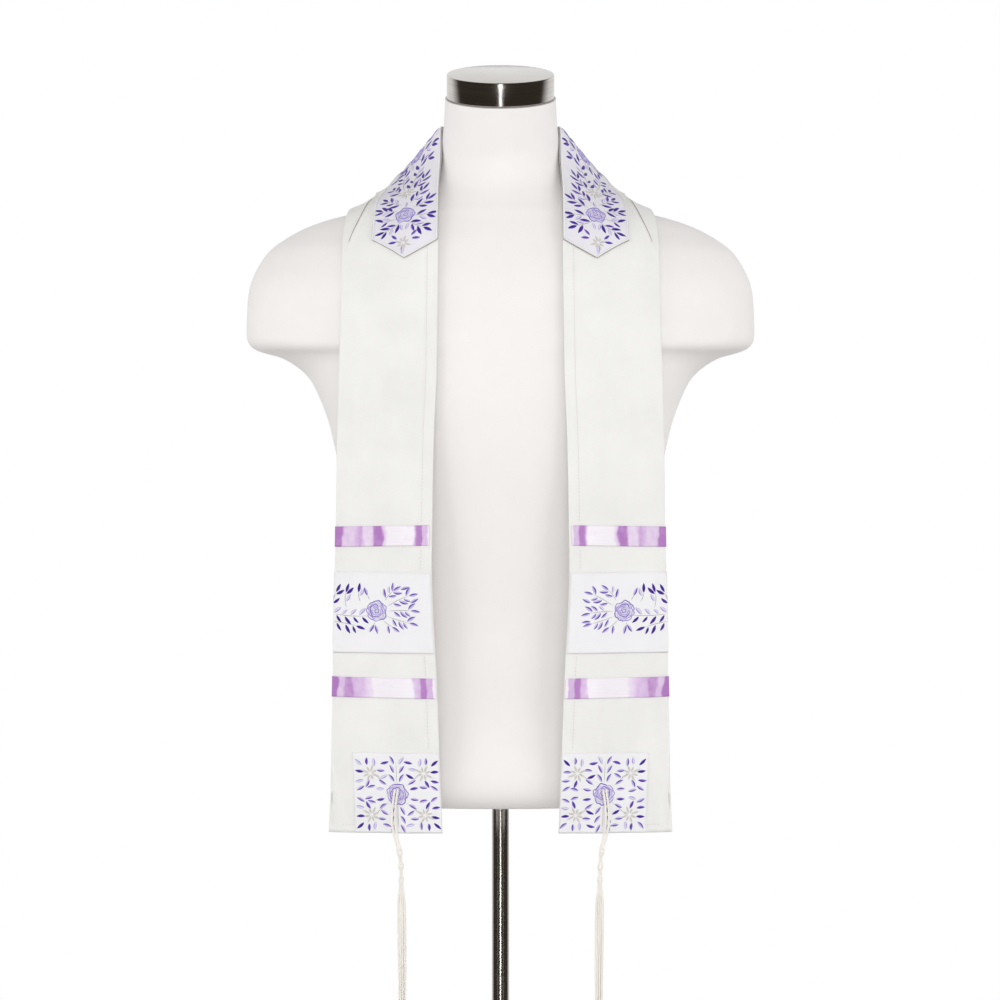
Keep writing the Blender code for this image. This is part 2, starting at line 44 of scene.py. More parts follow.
# Camera, level and square on, 3 m from the form
camera = {"distance": 3.0, "height": 1.16, "aside": -0.0005, "lens": 108.0, "sensor": 36.0}
cameraData = bpy.data.cameras.new("camera")
cameraData.lens = camera["lens"]
cameraData.sensor_width = camera["sensor"]
cameraObject = bpy.data.objects.new("camera", cameraData)
cameraObject.location = (camera["aside"], -camera["distance"], camera["height"])
cameraObject.rotation_euler = (pi / 2, 0.0, 0.0)
bpy.context.scene.collection.objects.link(cameraObject)
bpy.context.scene.camera = cameraObject
bpy.context.scene.view_settings.view_transform = "Standard"
print("camera set")


def splineThrough(knots, values):  # natural cubic, read at an array of places
    knots = np.asarray(knots, float)
    values = np.asarray(values, float).reshape(len(knots), -1)
    step = np.diff(knots)
    slope = np.diff(values, axis=0) / step[:, None]
    system, right = np.eye(len(knots)), np.zeros_like(values)
    for i in range(1, len(knots) - 1):
        system[i, i - 1:i + 2] = step[i - 1], 2 * (step[i - 1] + step[i]), step[i]
        right[i] = 6 * (slope[i] - slope[i - 1])
    bend = np.linalg.solve(system, right)

    def at(where):
        where = np.clip(np.atleast_1d(np.asarray(where, float)), knots[0], knots[-1])
        i = np.clip(np.searchsorted(knots, where) - 1, 0, len(step) - 1)
        b = ((where - knots[i]) / step[i])[:, None]
        a = 1 - b
        curve = ((a**3 - a) * bend[i] + (b**3 - b) * bend[i + 1]) * (step[i] ** 2)[:, None] / 6
        return a * values[i] + b * values[i + 1] + curve

    return at


def smoothStep(x):
    x = np.clip(x, 0.0, 1.0)
    return x * x * (3 - 2 * x)


def distances(points):  # along a line of points, from its start
    return np.concatenate([[0.0], np.cumsum(np.linalg.norm(np.diff(points, axis=0), axis=1))])


# The shawl as it hangs, from the nape to one hem: inner and outer edge, then how the face is shaped
shawl = {
    "sections": (
        # inner edge, outer edge, bulge, flank, ridge, wave
        ((0, 57, 1532), (0, 100, 1429), 2.0, 4, 0.0, 0.0),
        ((32, 48, 1533), (62, 95, 1431), 2.0, 4, 0.0, 0.0),
        ((54.5, 24, 1535), (111, 76, 1442), 0.0, 12, 1.0, 0.0),
        ((61.8, -3, 1533), (139, 40, 1451), -5.0, 24, 2.2, 0.0),
        ((61.4, -26, 1504), (149.5, 2, 1452.4), -6.5, 28, 1.6, 0.0),
        ((60.8, -48, 1474), (153, -36, 1441), -2.0, 23, 2.6, 0.0),
        ((60.6, -71, 1449.5), (154.5, -57, 1426), 0.0, 16, 2.0, 0.1),
        ((60.5, -90, 1422.5), (155, -73.5, 1405), 3.0, 6, 0.5, 0.2),
        ((60.5, -102.5, 1390), (155.3, -84, 1382), 3.0, 4, 0.0, 0.3),
        ((60.6, -112.5, 1357), (155.5, -92.5, 1353), 3.0, 4, 0.0, 0.4),
        ((61.0, -119, 1320), (156, -99.5, 1319), 3.0, 4, 0.0, 0.5),
        ((61.6, -122.5, 1278), (157, -103.5, 1278), 3.0, 4, 0.0, 0.6),
        ((63.7, -123, 1230), (158.3, -104.5, 1230), 3.0, 4, 0.0, 0.8),
        ((65.7, -123, 1136), (159.7, -104.5, 1136), 2.5, 4, 0.0, 1.0),
        ((66.2, -123, 1090), (160.6, -105, 1090), 2.5, 4, 0.0, 1.0),
        ((62.8, -123, 1013), (162.1, -106, 1013), 2.5, 4, 0.0, 1.0),
        ((61.1, -123, 978), (162.8, -106.5, 978), 2.5, 4, 0.0, 1.1),
        ((58.7, -123, 914), (164, -108, 914), 2.0, 4, 0.0, 1.2),
        ((55.7, -123, 840), (166, -109, 840), 2.0, 4, 0.0, 1.3),
    ),
    "waveDepth": 1.1, "waveLength": 0.48, "waveCrest": 0.33,
    "foldRadius": 1.28,  # of the outer fold, over its outside
    "narrowestFlank": 4.0, "plainFlank": 5.0, "looseFlank": 15.0, "fullFlank": 16.0,
    "creaseStep": 0.9, "creaseRun": 0.45,  # how far the flank lies below the front layer's fold
    "roll": 1.35, "rollWidth": 3.2, "rollDrop": 0.35,  # the fold stands up along the crease
    "layer": 0.38, "hem": 0.72,  # thickness of the cloth, and of its turned hems
    "pressed": 0.55, "pressedFrom": 545.0, "pressedRun": 60.0,  # how close the layers lie round the neck
    "curl": 3.3, "curlWidth": 8.0, "curlFrom": 610.0, "curlRun": 70.0,  # the edge turned in against the neck
    "drop": 1.9, "dropFrom": 625.0, "dropRun": 60.0,  # the neck edge settled towards the neck
    "dropEdge": 6.0, "dropWidth": 24.0,
    "layerDepths": (-0.4, -2.16, -3.0, -3.8),  # the middle of each layer, below the face
    "innerFold": 1.6, "neckSetback": 12.0, "insideInner": 1.0, "insideOuter": 1.4,  # of the hidden layers
    "hemWidth": 11.0, "endHem": 9.0, "hemSteps": (0.0, 0.5, 3.0, 6.0, 9.0),
    "rowStep": 3.6, "frontColumns": 30, "backColumns": 7, "foldColumns": 6,
    "cutWidth": 0.43,
    "colour": (0.855, 0.85, 0.825),
}
# Soft creases of the falls: side (0 both), from (height, across) to (height, across), half width, depth
creases = (
    (0, (4, 90), (62, 99), 3.6, -1.4),
    (0, (2, 105.5), (64, 107.5), 2.0, -1.7),
    (0, (60, 101), (150, 100), 5.0, -0.8),
    (0, (96, 92), (100, 70), 3.0, -0.30),
    (0, (84, 96), (88, 74), 2.6, 0.30),
    (0, (128, 30), (258, 22), 11.0, 0.45),
    (0, (300, 44), (470, 60), 13.0, -0.7),
    (0, (318, 72), (440, 78), 9.0, 0.5),
    (0, (168, 13), (163, 0), 1.6, 0.5),
    (0, (560, 92), (520, 70), 6.0, -0.5),
    (0, (120, 66), (30, 88), 8.0, 0.5),
    (-1, (360, 20), (520, 30), 8.0, 0.35),
    (1, (330, 24), (480, 34), 8.0, 0.40),
    (-1, (270, 60), (262, 96), 3.0, 0.35),
    (1, (268, 52), (266, 90), 3.4, 0.30),
    (-1, (690, 76), (700, 108), 6.0, 0.8),
    (1, (695, 74), (712, 106), 6.5, 0.7),
    (-1, (770, 72), (790, 112), 7.0, -0.8),
    (1, (765, 74), (796, 113), 6.0, 0.8),
    (-1, (735, 70), (728, 116), 5.0, 0.5),
    (1, (822, 78), (812, 110), 8.0, -0.6),
)


def mirroredRow(row):
    (ix, iy, iz), (ox, oy, oz), *form = row
    return ((-ix, iy, iz), (-ox, oy, oz), *form)


sectionRows = [mirroredRow(r) for r in reversed(shawl["sections"][1:])] + list(shawl["sections"])
innerEdge = np.array([r[0] for r in sectionRows], float)
outerEdge = np.array([r[1] for r in sectionRows], float)
middleLine = (innerEdge + outerEdge) / 2
sectionKnots = distances(middleLine)
shawlLength = float(sectionKnots[-1])
innerAt = splineThrough(sectionKnots, innerEdge)
outerAt = splineThrough(sectionKnots, outerEdge)
formAt = splineThrough(sectionKnots, [r[2:] for r in sectionRows])


def place(side, height):  # distance along the cloth of a height above one hem
    return height if side < 0 else shawlLength - np.asarray(height, float)


def sectionAt(along):
    inner, outer = innerAt(along), outerAt(along)
    ahead, behind = np.minimum(along + 1.0, shawlLength), np.maximum(along - 1.0, 0.0)
    travel = innerAt(ahead) + outerAt(ahead) - innerAt(behind) - outerAt(behind)
    across = outer - inner
    width = np.linalg.norm(across, axis=1)
    outward = np.cross(travel, across)
    outward /= np.linalg.norm(outward, axis=1)[:, None]
    return inner, across / width[:, None], outward, width, formAt(along)


def widthAt(along):
    return sectionAt(np.atleast_1d(np.asarray(along, float)))[3]


def heightOf(along):  # above the nearer hem
    return np.minimum(along, shawlLength - along)


def creaseLift(along, across):
    lift = np.zeros_like(along)
    for which, start, end, half, depth in creases:
        for side in ((-1, 1) if which == 0 else (which,)):
            height = along if side < 0 else shawlLength - along
            p = np.stack([height - start[0], across - start[1]], axis=1)
            run = np.array([end[0] - start[0], end[1] - start[1]], float)
            length = np.linalg.norm(run)
            t = p @ run / length**2
            off = p @ np.array([-run[1], run[0]]) / length
            past = np.maximum(np.abs(t - 0.5) - 0.5, 0.0) * length
            lift += depth * np.exp(-(off / half) ** 2 - (past / (1.6 * half)) ** 2) * (along > 0)
    return lift


def loftAt(along):  # 1 where the layers lie loose, less where they are pressed
    near = smoothStep((heightOf(along) - shawl["pressedFrom"]) / shawl["pressedRun"])
    return 1 - (1 - shawl["pressed"]) * near


def grown(value, start, end):
    return np.clip((value - start) / (end - start), 0.0, 1.0)


def clothPoint(along, reach, out, depth=0.0):
    # reach runs over the outside from the neck edge, round the outer fold and back
    arrays = np.broadcast_arrays(along, reach, out, depth)
    along, reach, out, depth = (a.ravel().astype(float) for a in arrays)
    inner, direction, outward, width, form = sectionAt(along)
    bulge, flank, ridge, wave = form.T
    flank = np.maximum(flank, shawl["narrowestFlank"])
    crease = width - flank
    radius = shawl["foldRadius"] * loftAt(along)
    depth = depth * loftAt(along)
    face = depth == 0
    flat = np.minimum(reach, width - radius)
    past = np.maximum(reach - (width - radius), 0.0)
    turn = np.minimum(past / radius, pi)
    facing = (1 + np.cos(turn)) / 2
    across = flat + (radius + out) * np.sin(turn) - np.maximum(past - pi * radius, 0.0)
    lift = (radius + out) * np.cos(turn) - radius + depth
    over = across - crease
    slope = np.clip((width - across) / flank, 0.0, 1.0)
    lift += ridge * np.where(over <= 0, smoothStep(across / crease), slope)
    share = across / width
    lift += bulge * 4 * share * (1 - share)
    lift += wave * shawl["waveDepth"] * np.cos(2 * pi * (share - shawl["waveCrest"]) / shawl["waveLength"])
    step = shawl["creaseStep"] * grown(flank, shawl["plainFlank"], shawl["fullFlank"])
    lift -= step * smoothStep(over / shawl["creaseRun"]) * facing * face
    loose = grown(flank, shawl["plainFlank"], shawl["looseFlank"]) * face
    rising, falling = (np.exp(-(over / shawl[run]) ** 2) for run in ("rollWidth", "rollDrop"))
    lift += shawl["roll"] * loose * np.where(over <= 0, rising, falling * facing)
    height = heightOf(along)
    edge = np.clip(1 - across / shawl["curlWidth"], 0.0, 1.0) ** 2
    lift -= shawl["curl"] * edge * smoothStep((height - shawl["curlFrom"]) / shawl["curlRun"]) * face
    settled = smoothStep((height - shawl["dropFrom"]) / shawl["dropRun"])
    lift -= shawl["drop"] * settled * (1 - smoothStep((across - shawl["dropEdge"]) / shawl["dropWidth"]))
    lift += creaseLift(along, across)
    return inner + direction * across[:, None] + outward * lift[:, None]


def newObject(name, mesh, finish):
    made = bpy.data.objects.new(name, mesh)
    mesh.materials.append(finish)
    bpy.context.scene.collection.objects.link(made)
    return made


def setPlaces(mesh, places, uv=None):
    mesh.vertices.foreach_set("co", (np.asarray(places) * mm).astype(np.float32).ravel())
    if uv is not None:
        corners = np.empty(len(mesh.loops), np.int32)
        mesh.loops.foreach_get("vertex_index", corners)
        layer = mesh.uv_layers.new(name="cloth")
        layer.uv.foreach_set("vector", np.asarray(uv, np.float32)[corners].ravel())
    mesh.update()


def meshOf(work, name, outwards=False):
    if outwards:
        bmesh.ops.recalc_face_normals(work, faces=work.faces[:])
    mesh = bpy.data.meshes.new(name)
    work.to_mesh(mesh)
    work.free()
    return mesh


def gridMesh(name, rows, columns, placeAt, uvSize=None):
    # a grid whose rows u and columns v run from 0 to 1; placeAt gives millimetres
    work = bmesh.new()
    bmesh.ops.create_grid(work, x_segments=rows, y_segments=columns, size=0.5)
    flat = np.array([v.co[:2] for v in work.verts]) + 0.5
    mesh = meshOf(work, name)
    u, v = flat.T
    if callable(uvSize):
        uv = uvSize(u, v)
    else:
        uv = None if uvSize is None else np.stack([u * uvSize[0], v * uvSize[1]], axis=1)
    setPlaces(mesh, placeAt(u, v), uv)
    return mesh


def smooth(made, angle=40.0):
    made.data.shade_smooth()
    made.data.set_sharp_from_angle(angle=math.radians(angle))


def solidify(made, thickness, offset=0.0, group=None):
    wall = made.modifiers.new("wall", "SOLIDIFY")
    wall.thickness = thickness * mm
    wall.offset = offset
    if group:
        wall.vertex_group = group
    return wall


def rides(made, slot, *nodes):
    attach(made, "root")
    if nodes:
        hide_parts(*nodes)
    return made


# Materials
def nodesOf(name):
    made = bpy.data.materials.new(name)
    made.use_nodes = True
    tree = made.node_tree
    return made, tree, tree.nodes["Principled BSDF"]


def wire(tree, node, inputs):  # links a socket, or sets the input's own value
    for key, value in inputs.items():
        if isinstance(value, bpy.types.NodeSocket):
            tree.links.new(value, node.inputs[key])
        else:
            node.inputs[key].default_value = value


def add(tree, kind, inputs=None, **settings):
    node = tree.nodes.new("ShaderNode" + kind)
    for key, value in settings.items():
        setattr(node, key, value)
    wire(tree, node, inputs or {})
    return node


def times(tree, a, b):
    return add(tree, "Math", {0: a, 1: b}, operation="MULTIPLY").outputs[0]


def plus(tree, a, b):
    return add(tree, "Math", {0: a, 1: b}, operation="ADD").outputs[0]


def sineOf(tree, value, length):  # one wave in each length
    return add(tree, "Math", {0: times(tree, value, 2 * pi / length)}, operation="SINE").outputs[0]


def noise(tree, where, scale, detail):
    return add(tree, "TexNoise", {"Vector": where, "Scale": scale, "Detail": detail}).outputs["Fac"]


def stretched(tree, where, scale):
    return add(tree, "Mapping", {"Vector": where, "Scale": scale}).outputs[0]


def bumpOf(tree, height, strength, distance):
    inputs = {"Height": height, "Strength": strength, "Distance": distance * mm}
    return add(tree, "Bump", inputs).outputs[0]


def dulled(tree, colour, by):
    inputs = {0: 1.0, 6: colour, 7: by}
    return add(tree, "Mix", inputs, data_type="RGBA", blend_type="MULTIPLY").outputs[2]


def objectPlace(tree):
    return add(tree, "TexCoord").outputs["Object"]


def ramp(tree, value, stops):
    node = add(tree, "ValToRGB", {"Fac": value})
    while len(node.color_ramp.elements) < len(stops):
        node.color_ramp.elements.new(0.5)
    for element, (position, colour) in zip(node.color_ramp.elements, stops):
        element.position = position
        element.color = (*colour, 1.0)
    return node.outputs["Color"]


def tinted(colour, factor):
    return tuple(min(1.0, c * factor) for c in colour)


def grey(level):
    return (level, level, level)


def threads(tree, uv, pitch):  # over-and-under of a plain weave, from uv in metres
    apart = add(tree, "SeparateXYZ", {0: uv})
    return times(tree, *(sineOf(tree, apart.outputs[axis], pitch * mm) for axis in (0, 1)))


def clothFinish(name, colour, roughness=0.85, pitch=0.5, depth=0.12, mottle=0.035, sheen=0.15, slub=0.03):
    made, tree, shader = nodesOf(name)
    uv = add(tree, "UVMap", uv_map="cloth").outputs[0]
    along = noise(tree, stretched(tree, uv, (60.0, 2600.0, 1.0)), 1.0, 2.0)
    across = noise(tree, stretched(tree, uv, (2600.0, 60.0, 1.0)), 1.0, 2.0)
    slubs = times(tree, plus(tree, along, across), 0.5)
    cloud = noise(tree, objectPlace(tree), 22.0, 3.0)
    total = slub + mottle
    blended = plus(tree, times(tree, slubs, slub), times(tree, cloud, mottle))
    level = add(tree, "Math", {0: blended, 1: total}, operation="DIVIDE").outputs[0]
    stops = ((0.30, tinted(colour, 1 - total)), (0.70, tinted(colour, 1 + total / 2)))
    height = plus(tree, threads(tree, uv, pitch), times(tree, slubs, 2.5))
    wire(tree, shader, {
        "Base Color": ramp(tree, level, stops), "Normal": bumpOf(tree, height, 0.35, depth),
        "Roughness": roughness, "Sheen Weight": sheen, "Sheen Roughness": 0.5, "Specular IOR Level": 0.25,
    })
    return made


def satinFinish(name, tones, sheen):  # sheen: painted sheen bands, (millimetres across, how light) from the neck edge, painted into the base colour
    made, tree, shader = nodesOf(name)
    uv = add(tree, "UVMap", uv_map="cloth").outputs[0]
    streak = noise(tree, stretched(tree, uv, (5200.0, 45.0, 1.0)), 1.0, 2.0)
    broad = noise(tree, stretched(tree, uv, (42.0, 60.0, 1.0)), 1.0, 2.0)
    mottle = noise(tree, stretched(tree, uv, (110.0, 150.0, 1.0)), 1.0, 3.0)
    across = add(tree, "SeparateXYZ", {0: uv}).outputs[1]
    swirl = times(tree, plus(tree, broad, -0.5), 12 * mm)
    whole = 125  # millimetres that the ramp spans
    bent = times(tree, plus(tree, across, swirl), 1 / (whole * mm))
    # painted sheen: light and dark bands across the satin, painted into its base colour, the pale tone as a
    # painted highlight
    light = ramp(tree, bent, [(reach / whole, grey(level)) for reach, level in sheen])
    light.node.color_ramp.interpolation = "EASE"
    rough = times(tree, plus(tree, mottle, -0.5), 0.40)
    # colour of the painted sheen bands, with random mottle
    paintedSheenAndMottle = ramp(tree, plus(tree, light, rough), list(zip((0.08, 0.5, 0.92), tones)))
    fine = ramp(tree, streak, ((0.25, (0.92, 0.90, 0.93)), (0.75, (1.0, 1.0, 1.0))))
    wire(tree, shader, {
        "Base Color": dulled(tree, paintedSheenAndMottle, fine), "Normal": bumpOf(tree, streak, 0.12, 0.05),
        "Roughness": 0.34, "Specular IOR Level": 0.6, "Anisotropic": 0.35, "Sheen Weight": 0.1,
    })
    return made


def threadFinish(name, stitch=0.38, roughness=0.42, shade=0.78):  # colour from each stitch's own attribute; shade: how dark the painted shade in the stitch grooves and the random thread tone go
    made, tree, shader = nodesOf(name)
    own = add(tree, "Attribute", attribute_name="thread").outputs["Color"]
    uv = add(tree, "Attribute", attribute_name="stitch").outputs["Vector"]
    apart = add(tree, "SeparateXYZ", {0: uv})
    slanted = plus(tree, apart.outputs[0], times(tree, apart.outputs[1], 0.6))
    line = sineOf(tree, slanted, stitch * mm)
    fine = noise(tree, uv, 1500.0, 2.0)
    level = plus(tree, plus(tree, times(tree, line, 0.10), times(tree, fine, 0.35)), 0.35)
    # painted shade: darker in the grooves between the stitches, with random thread tone
    paintedGrooveShadeAndTone = ramp(tree, level, ((0.2, grey(shade)), (0.8, grey(1.0))))
    wire(tree, shader, {
        "Base Color": dulled(tree, own, paintedGrooveShadeAndTone), "Normal": bumpOf(tree, line, 0.5, 0.12),
        "Roughness": roughness, "Specular IOR Level": 0.35, "Sheen Weight": 0.04,
    })
    return made


def steelFinish(name, tilt=0.0, grain=(900.0, 9.0), rough=0.12, colour=(0.58, 0.55, 0.52)):
    made, tree, shader = nodesOf(name)
    where = objectPlace(tree)
    turned = add(tree, "Mapping", {"Vector": where, "Rotation": (-tilt, 0.0, 0.0)}).outputs[0]
    brush = noise(tree, stretched(tree, turned, (grain[1], grain[1], grain[0])), 1.0, 4.0)
    cloud = noise(tree, where, 35.0, 3.0)
    worn = times(tree, plus(tree, brush, cloud), 0.06)
    wire(tree, shader, {
        "Base Color": ramp(tree, brush, ((0.3, tinted(colour, 0.86)), (0.7, tinted(colour, 1.12)))),
        "Roughness": plus(tree, worn, rough), "Normal": bumpOf(tree, brush, 0.04, 0.05),
        "Metallic": 1.0, "Anisotropic": 0.5,
    })
    return made


def shellFinish(name, colour):
    made, tree, shader = nodesOf(name)
    where = objectPlace(tree)
    cloud = noise(tree, where, 7.0, 4.0)
    peel = noise(tree, where, 420.0, 2.0)
    scuff = noise(tree, where, 60.0, 6.0)
    mixed = plus(tree, times(tree, cloud, 0.75), times(tree, scuff, 0.25))
    wire(tree, shader, {
        "Base Color": ramp(tree, mixed, ((0.35, tinted(colour, 0.975)), (0.65, tinted(colour, 1.015)))),
        "Roughness": add(tree, "MapRange", {"Value": scuff, "To Min": 0.42, "To Max": 0.56}).outputs[0],
        "Normal": bumpOf(tree, peel, 0.08, 0.15), "Specular IOR Level": 0.35,
    })
    return made


# each ribbon's painted sheen: stops of (millimetres across from the neck edge, how light) for highlight bands
# painted into the satin's colour; the same stops also set the ribbon's small waves
ribbons = {
    "upper": {
        "edges": (276.3, 274.9), "tall": 19.5, "from": 2.6,
        "sheen": (
            (2.6, 0.9), (3.6, 0.5), (8.5, 0.5), (10, 0.08), (14.5, 0.08), (19, 0.9), (42, 1.0), (46, 0.7),
            (49.5, 0.1), (55.5, 0.1), (58.5, 0.65), (65, 0.7), (69, 0.33), (72, 0.45), (78, 0.62), (86, 0.6),
            (88.5, 0.08), (104, 0.0),
        ),
    },
    "lower": {
        "edges": (129.0, 130.5), "tall": 19.5, "from": 0.8,
        "sheen": (
            (2, 0.95), (3.4, 0.45), (9, 0.45), (10.5, 0.08), (15, 0.08), (17, 0.45), (20.5, 0.5), (24, 0.95),
            (59, 0.97), (64, 0.75), (72, 0.5), (80, 0.45), (83, 0.22), (88, 0.25), (91, 0.55), (96, 0.55),
            (98.5, 0.06), (106, 0.0),
        ),
    },
}
# satin tones from deep to pale, the pale one a painted highlight; wave: how far the ribbon's small waves
# follow the painted sheen
satin = {
    "tones": ((0.455, 0.20, 0.53), (0.72, 0.53, 0.78), (0.915, 0.87, 0.92)),
    "thick": 0.35, "out": 0.40, "wave": 0.14, "selvedge": 0.10, "selvedgeWidth": 0.8, "flat": (0.0195, 0.101),
}

finishes = {
    "cloth": clothFinish("shawlWeave", shawl["colour"]),
    "panel": clothFinish("panelCotton", (0.87, 0.86, 0.875), pitch=0.42, sheen=0.05, mottle=0.02),
    "neckband": clothFinish("neckbandCotton", (0.81, 0.79, 0.835), pitch=0.42, sheen=0.05, mottle=0.03),
    # the ribbons' satin, with painted sheen bands
    "ribbonUpper": satinFinish("lavenderSatin", satin["tones"], ribbons["upper"]["sheen"]),
    "ribbonLower": satinFinish("lavenderSatinLow", satin["tones"], ribbons["lower"]["sheen"]),
    "thread": threadFinish("satinStitch"),
    "rim": threadFinish("wrappedRim", stitch=0.8, roughness=0.6, shade=0.93),
    "wool": threadFinish("twistedWool", stitch=0.9, roughness=0.85, shade=0.95),
    "steelCap": steelFinish("brushedCap", tilt=math.radians(18.0), rough=0.07),
    "steelPole": steelFinish("brushedPole", rough=0.13),
    "steelBase": steelFinish("brushedBase", grain=(14.0, 160.0)),
    "shell": shellFinish("paintedShell", (0.87, 0.84, 0.825)),
}
print("materials made")


# The cloth in one sheet, pleated back and forth into four layers
def buildShawl():
    rows = int(shawlLength / shawl["rowStep"])
    front, back, arc = shawl["frontColumns"], shawl["backColumns"], shawl["foldColumns"]
    face, *behind = shawl["layerDepths"]
    hem = shawl["hemWidth"]
    hemSteps = np.array([*shawl["hemSteps"], hem - 0.5, hem + 0.4])
    hemEnd, overFlank = len(hemSteps) - 1, 5
    columns = hemEnd + front + overFlank + 3 * (arc + back)

    def placeAt(u, v):
        along = u * shawlLength
        loft = loftAt(along)
        inside = shawl["insideInner"]
        setback = shawl["innerFold"] + shawl["neckSetback"] * (1 - loft)
        radius = shawl["foldRadius"] * loft
        column = np.round(v * columns).astype(int)
        width = widthAt(along)
        flank = np.maximum(formAt(along)[:, 1], shawl["narrowestFlank"])
        crease, edge = width - flank, width - radius
        reach, depth = hemSteps[np.minimum(column, hemEnd)], np.zeros_like(u)
        start = hemEnd

        def lay(count, reachAt, depthAt=None):  # the next columns, each by its number in the run
            nonlocal start, reach, depth
            step = column - start
            here = (step > 0) & (step <= count)
            reach = np.where(here, reachAt(step), reach)
            if depthAt:
                depth = np.where(here, depthAt(step), depth)
            start += count

        lay(front, lambda step: hemSteps[-1] + (crease - hemSteps[-1]) * (step / front))
        # over the shoulder flank to the outer fold
        for k, over in enumerate((0.4, 0.9, 1.6, 0.6 * (flank - radius), flank - radius), 1):
            held = np.minimum(np.maximum(crease + over, crease + 0.15 * k), edge - 0.02 * (overFlank - k))
            lay(1, lambda step: held)
        lay(arc, lambda step: edge + pi * radius * step / arc)
        run = edge - setback - inside
        lay(back, lambda step: edge + pi * radius + run * step / back)
        # the hidden layers behind, at their own depths
        ends = (setback + inside, width - shawl["insideOuter"], setback + 2 * inside)
        for way, high, low, here, there in zip((-1, 1), behind, behind[1:], ends, ends[1:]):
            bend, middle = (high - low) / 2, (high + low) / 2
            lay(arc, lambda step: here + way * bend * np.sin(pi * step / arc),
                lambda step: middle + bend * np.cos(pi * step / arc))
            lay(back, lambda step: here + (there - here) * (step / back), lambda step: low)
        return clothPoint(along, reach, np.where(depth < 0, 0.0, face), depth)

    mesh = gridMesh("shawlCloth", rows, columns, placeAt, (shawlLength * mm, shawl["cutWidth"]))
    made = newObject("shawlCloth", mesh, finishes["cloth"])
    smooth(made, 60.0)
    column, row = np.divmod(np.arange(len(mesh.vertices)), rows + 1)
    thick = (column < hemEnd) | (heightOf(row * shawlLength / rows) < shawl["endHem"])
    group = made.vertex_groups.new(name="thick")
    group.add(np.nonzero(thick)[0].tolist(), 1.0, "REPLACE")
    group.add(np.nonzero(~thick)[0].tolist(), shawl["layer"] / shawl["hem"], "REPLACE")
    solidify(made, shawl["hem"], group="thick")
    return rides(made, "shawl_cloth", "shawl_cloth")


shawlCloth = buildShawl()
print("shawl laid")


# Ribbons, panels, squares and neckband lie on the same surface, a little out from it
sewn = {
    "thick": 0.45, "out": 0.40, "wrap": 0.82,  # how far a band goes round the outer fold, of half a turn
    "edgeLift": 0.03, "edgeWidth": 0.9, "columns": 64, "bendColumns": 10,
}
panel = {"edges": (172.2, 173.1), "tall": 78.0, "from": 1.2, "edgeAt": 0.9, "flat": (0.078, 0.101)}
square = {
    "across": (0.6, 84.0), "height": (0.6, 77.0), "span": 78.0, "edgeAt": 1.0, "flat": (0.0764, 0.0834),
}
neckband = {
    # line: half width of the thin dark line outside the rim, partly painted shadow where the rim meets the
    # cloth
    "tip": 554.0, "points": (15.0, 25.0), "across": (0.2, 65.6), "thick": 0.5, "out": 0.98,
    "rim": 0.75, "rimOut": 1.45, "line": 0.15, "lineAway": 0.88, "lineOut": 0.6, "stitch": (0.7, 1.3),
    "stitchOut": (1.15, 0.3), "stitchLean": 0.4, "stitchThick": 0.17, "cutWidth": 0.0654,
    "rowStep": 3.0,
}
sideNames = {-1: "Left", 1: "Right"}


def addSheet(name, node, rows, columns, placeAt, uvSize, finish, slot, thick):
    made = newObject(name, gridMesh(name, rows, columns, placeAt, uvSize), finishes[finish])
    smooth(made, 60.0)
    solidify(made, thick)
    rides(made, slot, node)


def between(ends, share):
    return ends[0] + share * (ends[1] - ends[0])


def edgeRidge(edge, at):
    return sewn["edgeLift"] * np.exp(-((edge - at) / sewn["edgeWidth"]) ** 2)


def addBand(side, name, node, band, finish, slot, thick, out):
    edges, tall, start, sheen = band["edges"], band["tall"], band["from"], band.get("sheen")
    width = widthAt(place(side, edges[0] + tall / 2))
    onFace = width - shawl["foldRadius"] - start
    whole = onFace + pi * shawl["foldRadius"] * sewn["wrap"]
    bend = 1 - sewn["bendColumns"] / sewn["columns"]

    def reachAt(v):
        onFold = onFace + (whole - onFace) * (v - bend) / (1 - bend)
        return start + np.where(v <= bend, onFace * v / bend, onFold)

    def placeAt(u, v):
        t = u if side < 0 else 1 - u
        reach = reachAt(v)
        bottom = between(edges, np.clip(reach / width, 0, 1))
        edge = np.minimum(t, 1 - t) * tall
        if sheen:
            # the ribbon's small waves rise and fall with its painted sheen bands
            knots, lights = zip(*sheen)
            lift = out + satin["wave"] * (np.interp(reach, knots, lights) - 0.5) * np.sin(pi * t) ** 0.5
            lift += satin["selvedge"] * np.exp(-(edge / satin["selvedgeWidth"]) ** 2)
        else:
            lift = out + edgeRidge(edge, band["edgeAt"])
        return clothPoint(place(side, bottom + tall * t), reach, lift)

    def uvAt(u, v):
        return np.stack([u * tall, reachAt(v)], axis=1) * mm

    addSheet(name, node, 14 if sheen else 44, sewn["columns"], placeAt, uvAt, finish, slot, thick)


for side, word in sideNames.items():
    low = word.lower()
    for level, ribbon in ribbons.items():
        made = f"ribbon{level.title()}"
        addBand(side, made + word, f"ribbon_{level}_{low}", ribbon, made, "satin_ribbon",
                satin["thick"], satin["out"])
    addBand(side, f"panel{word}", f"panel_{low}", panel, "panel", "panel_cloth",
            sewn["thick"], sewn["out"])

    def squareAt(u, v):
        height = between(square["height"], u if side < 0 else 1 - u)
        reach = between(square["across"], v)
        edge = np.minimum(np.minimum(u, 1 - u), np.minimum(v, 1 - v)) * square["span"]
        return clothPoint(place(side, height), reach, sewn["out"] + edgeRidge(edge, square["edgeAt"]))

    addSheet(f"corner{word}", f"corner_{low}", 52, 56, squareAt, square["flat"], "panel", "panel_cloth",
             sewn["thick"])
print("bands sewn on")


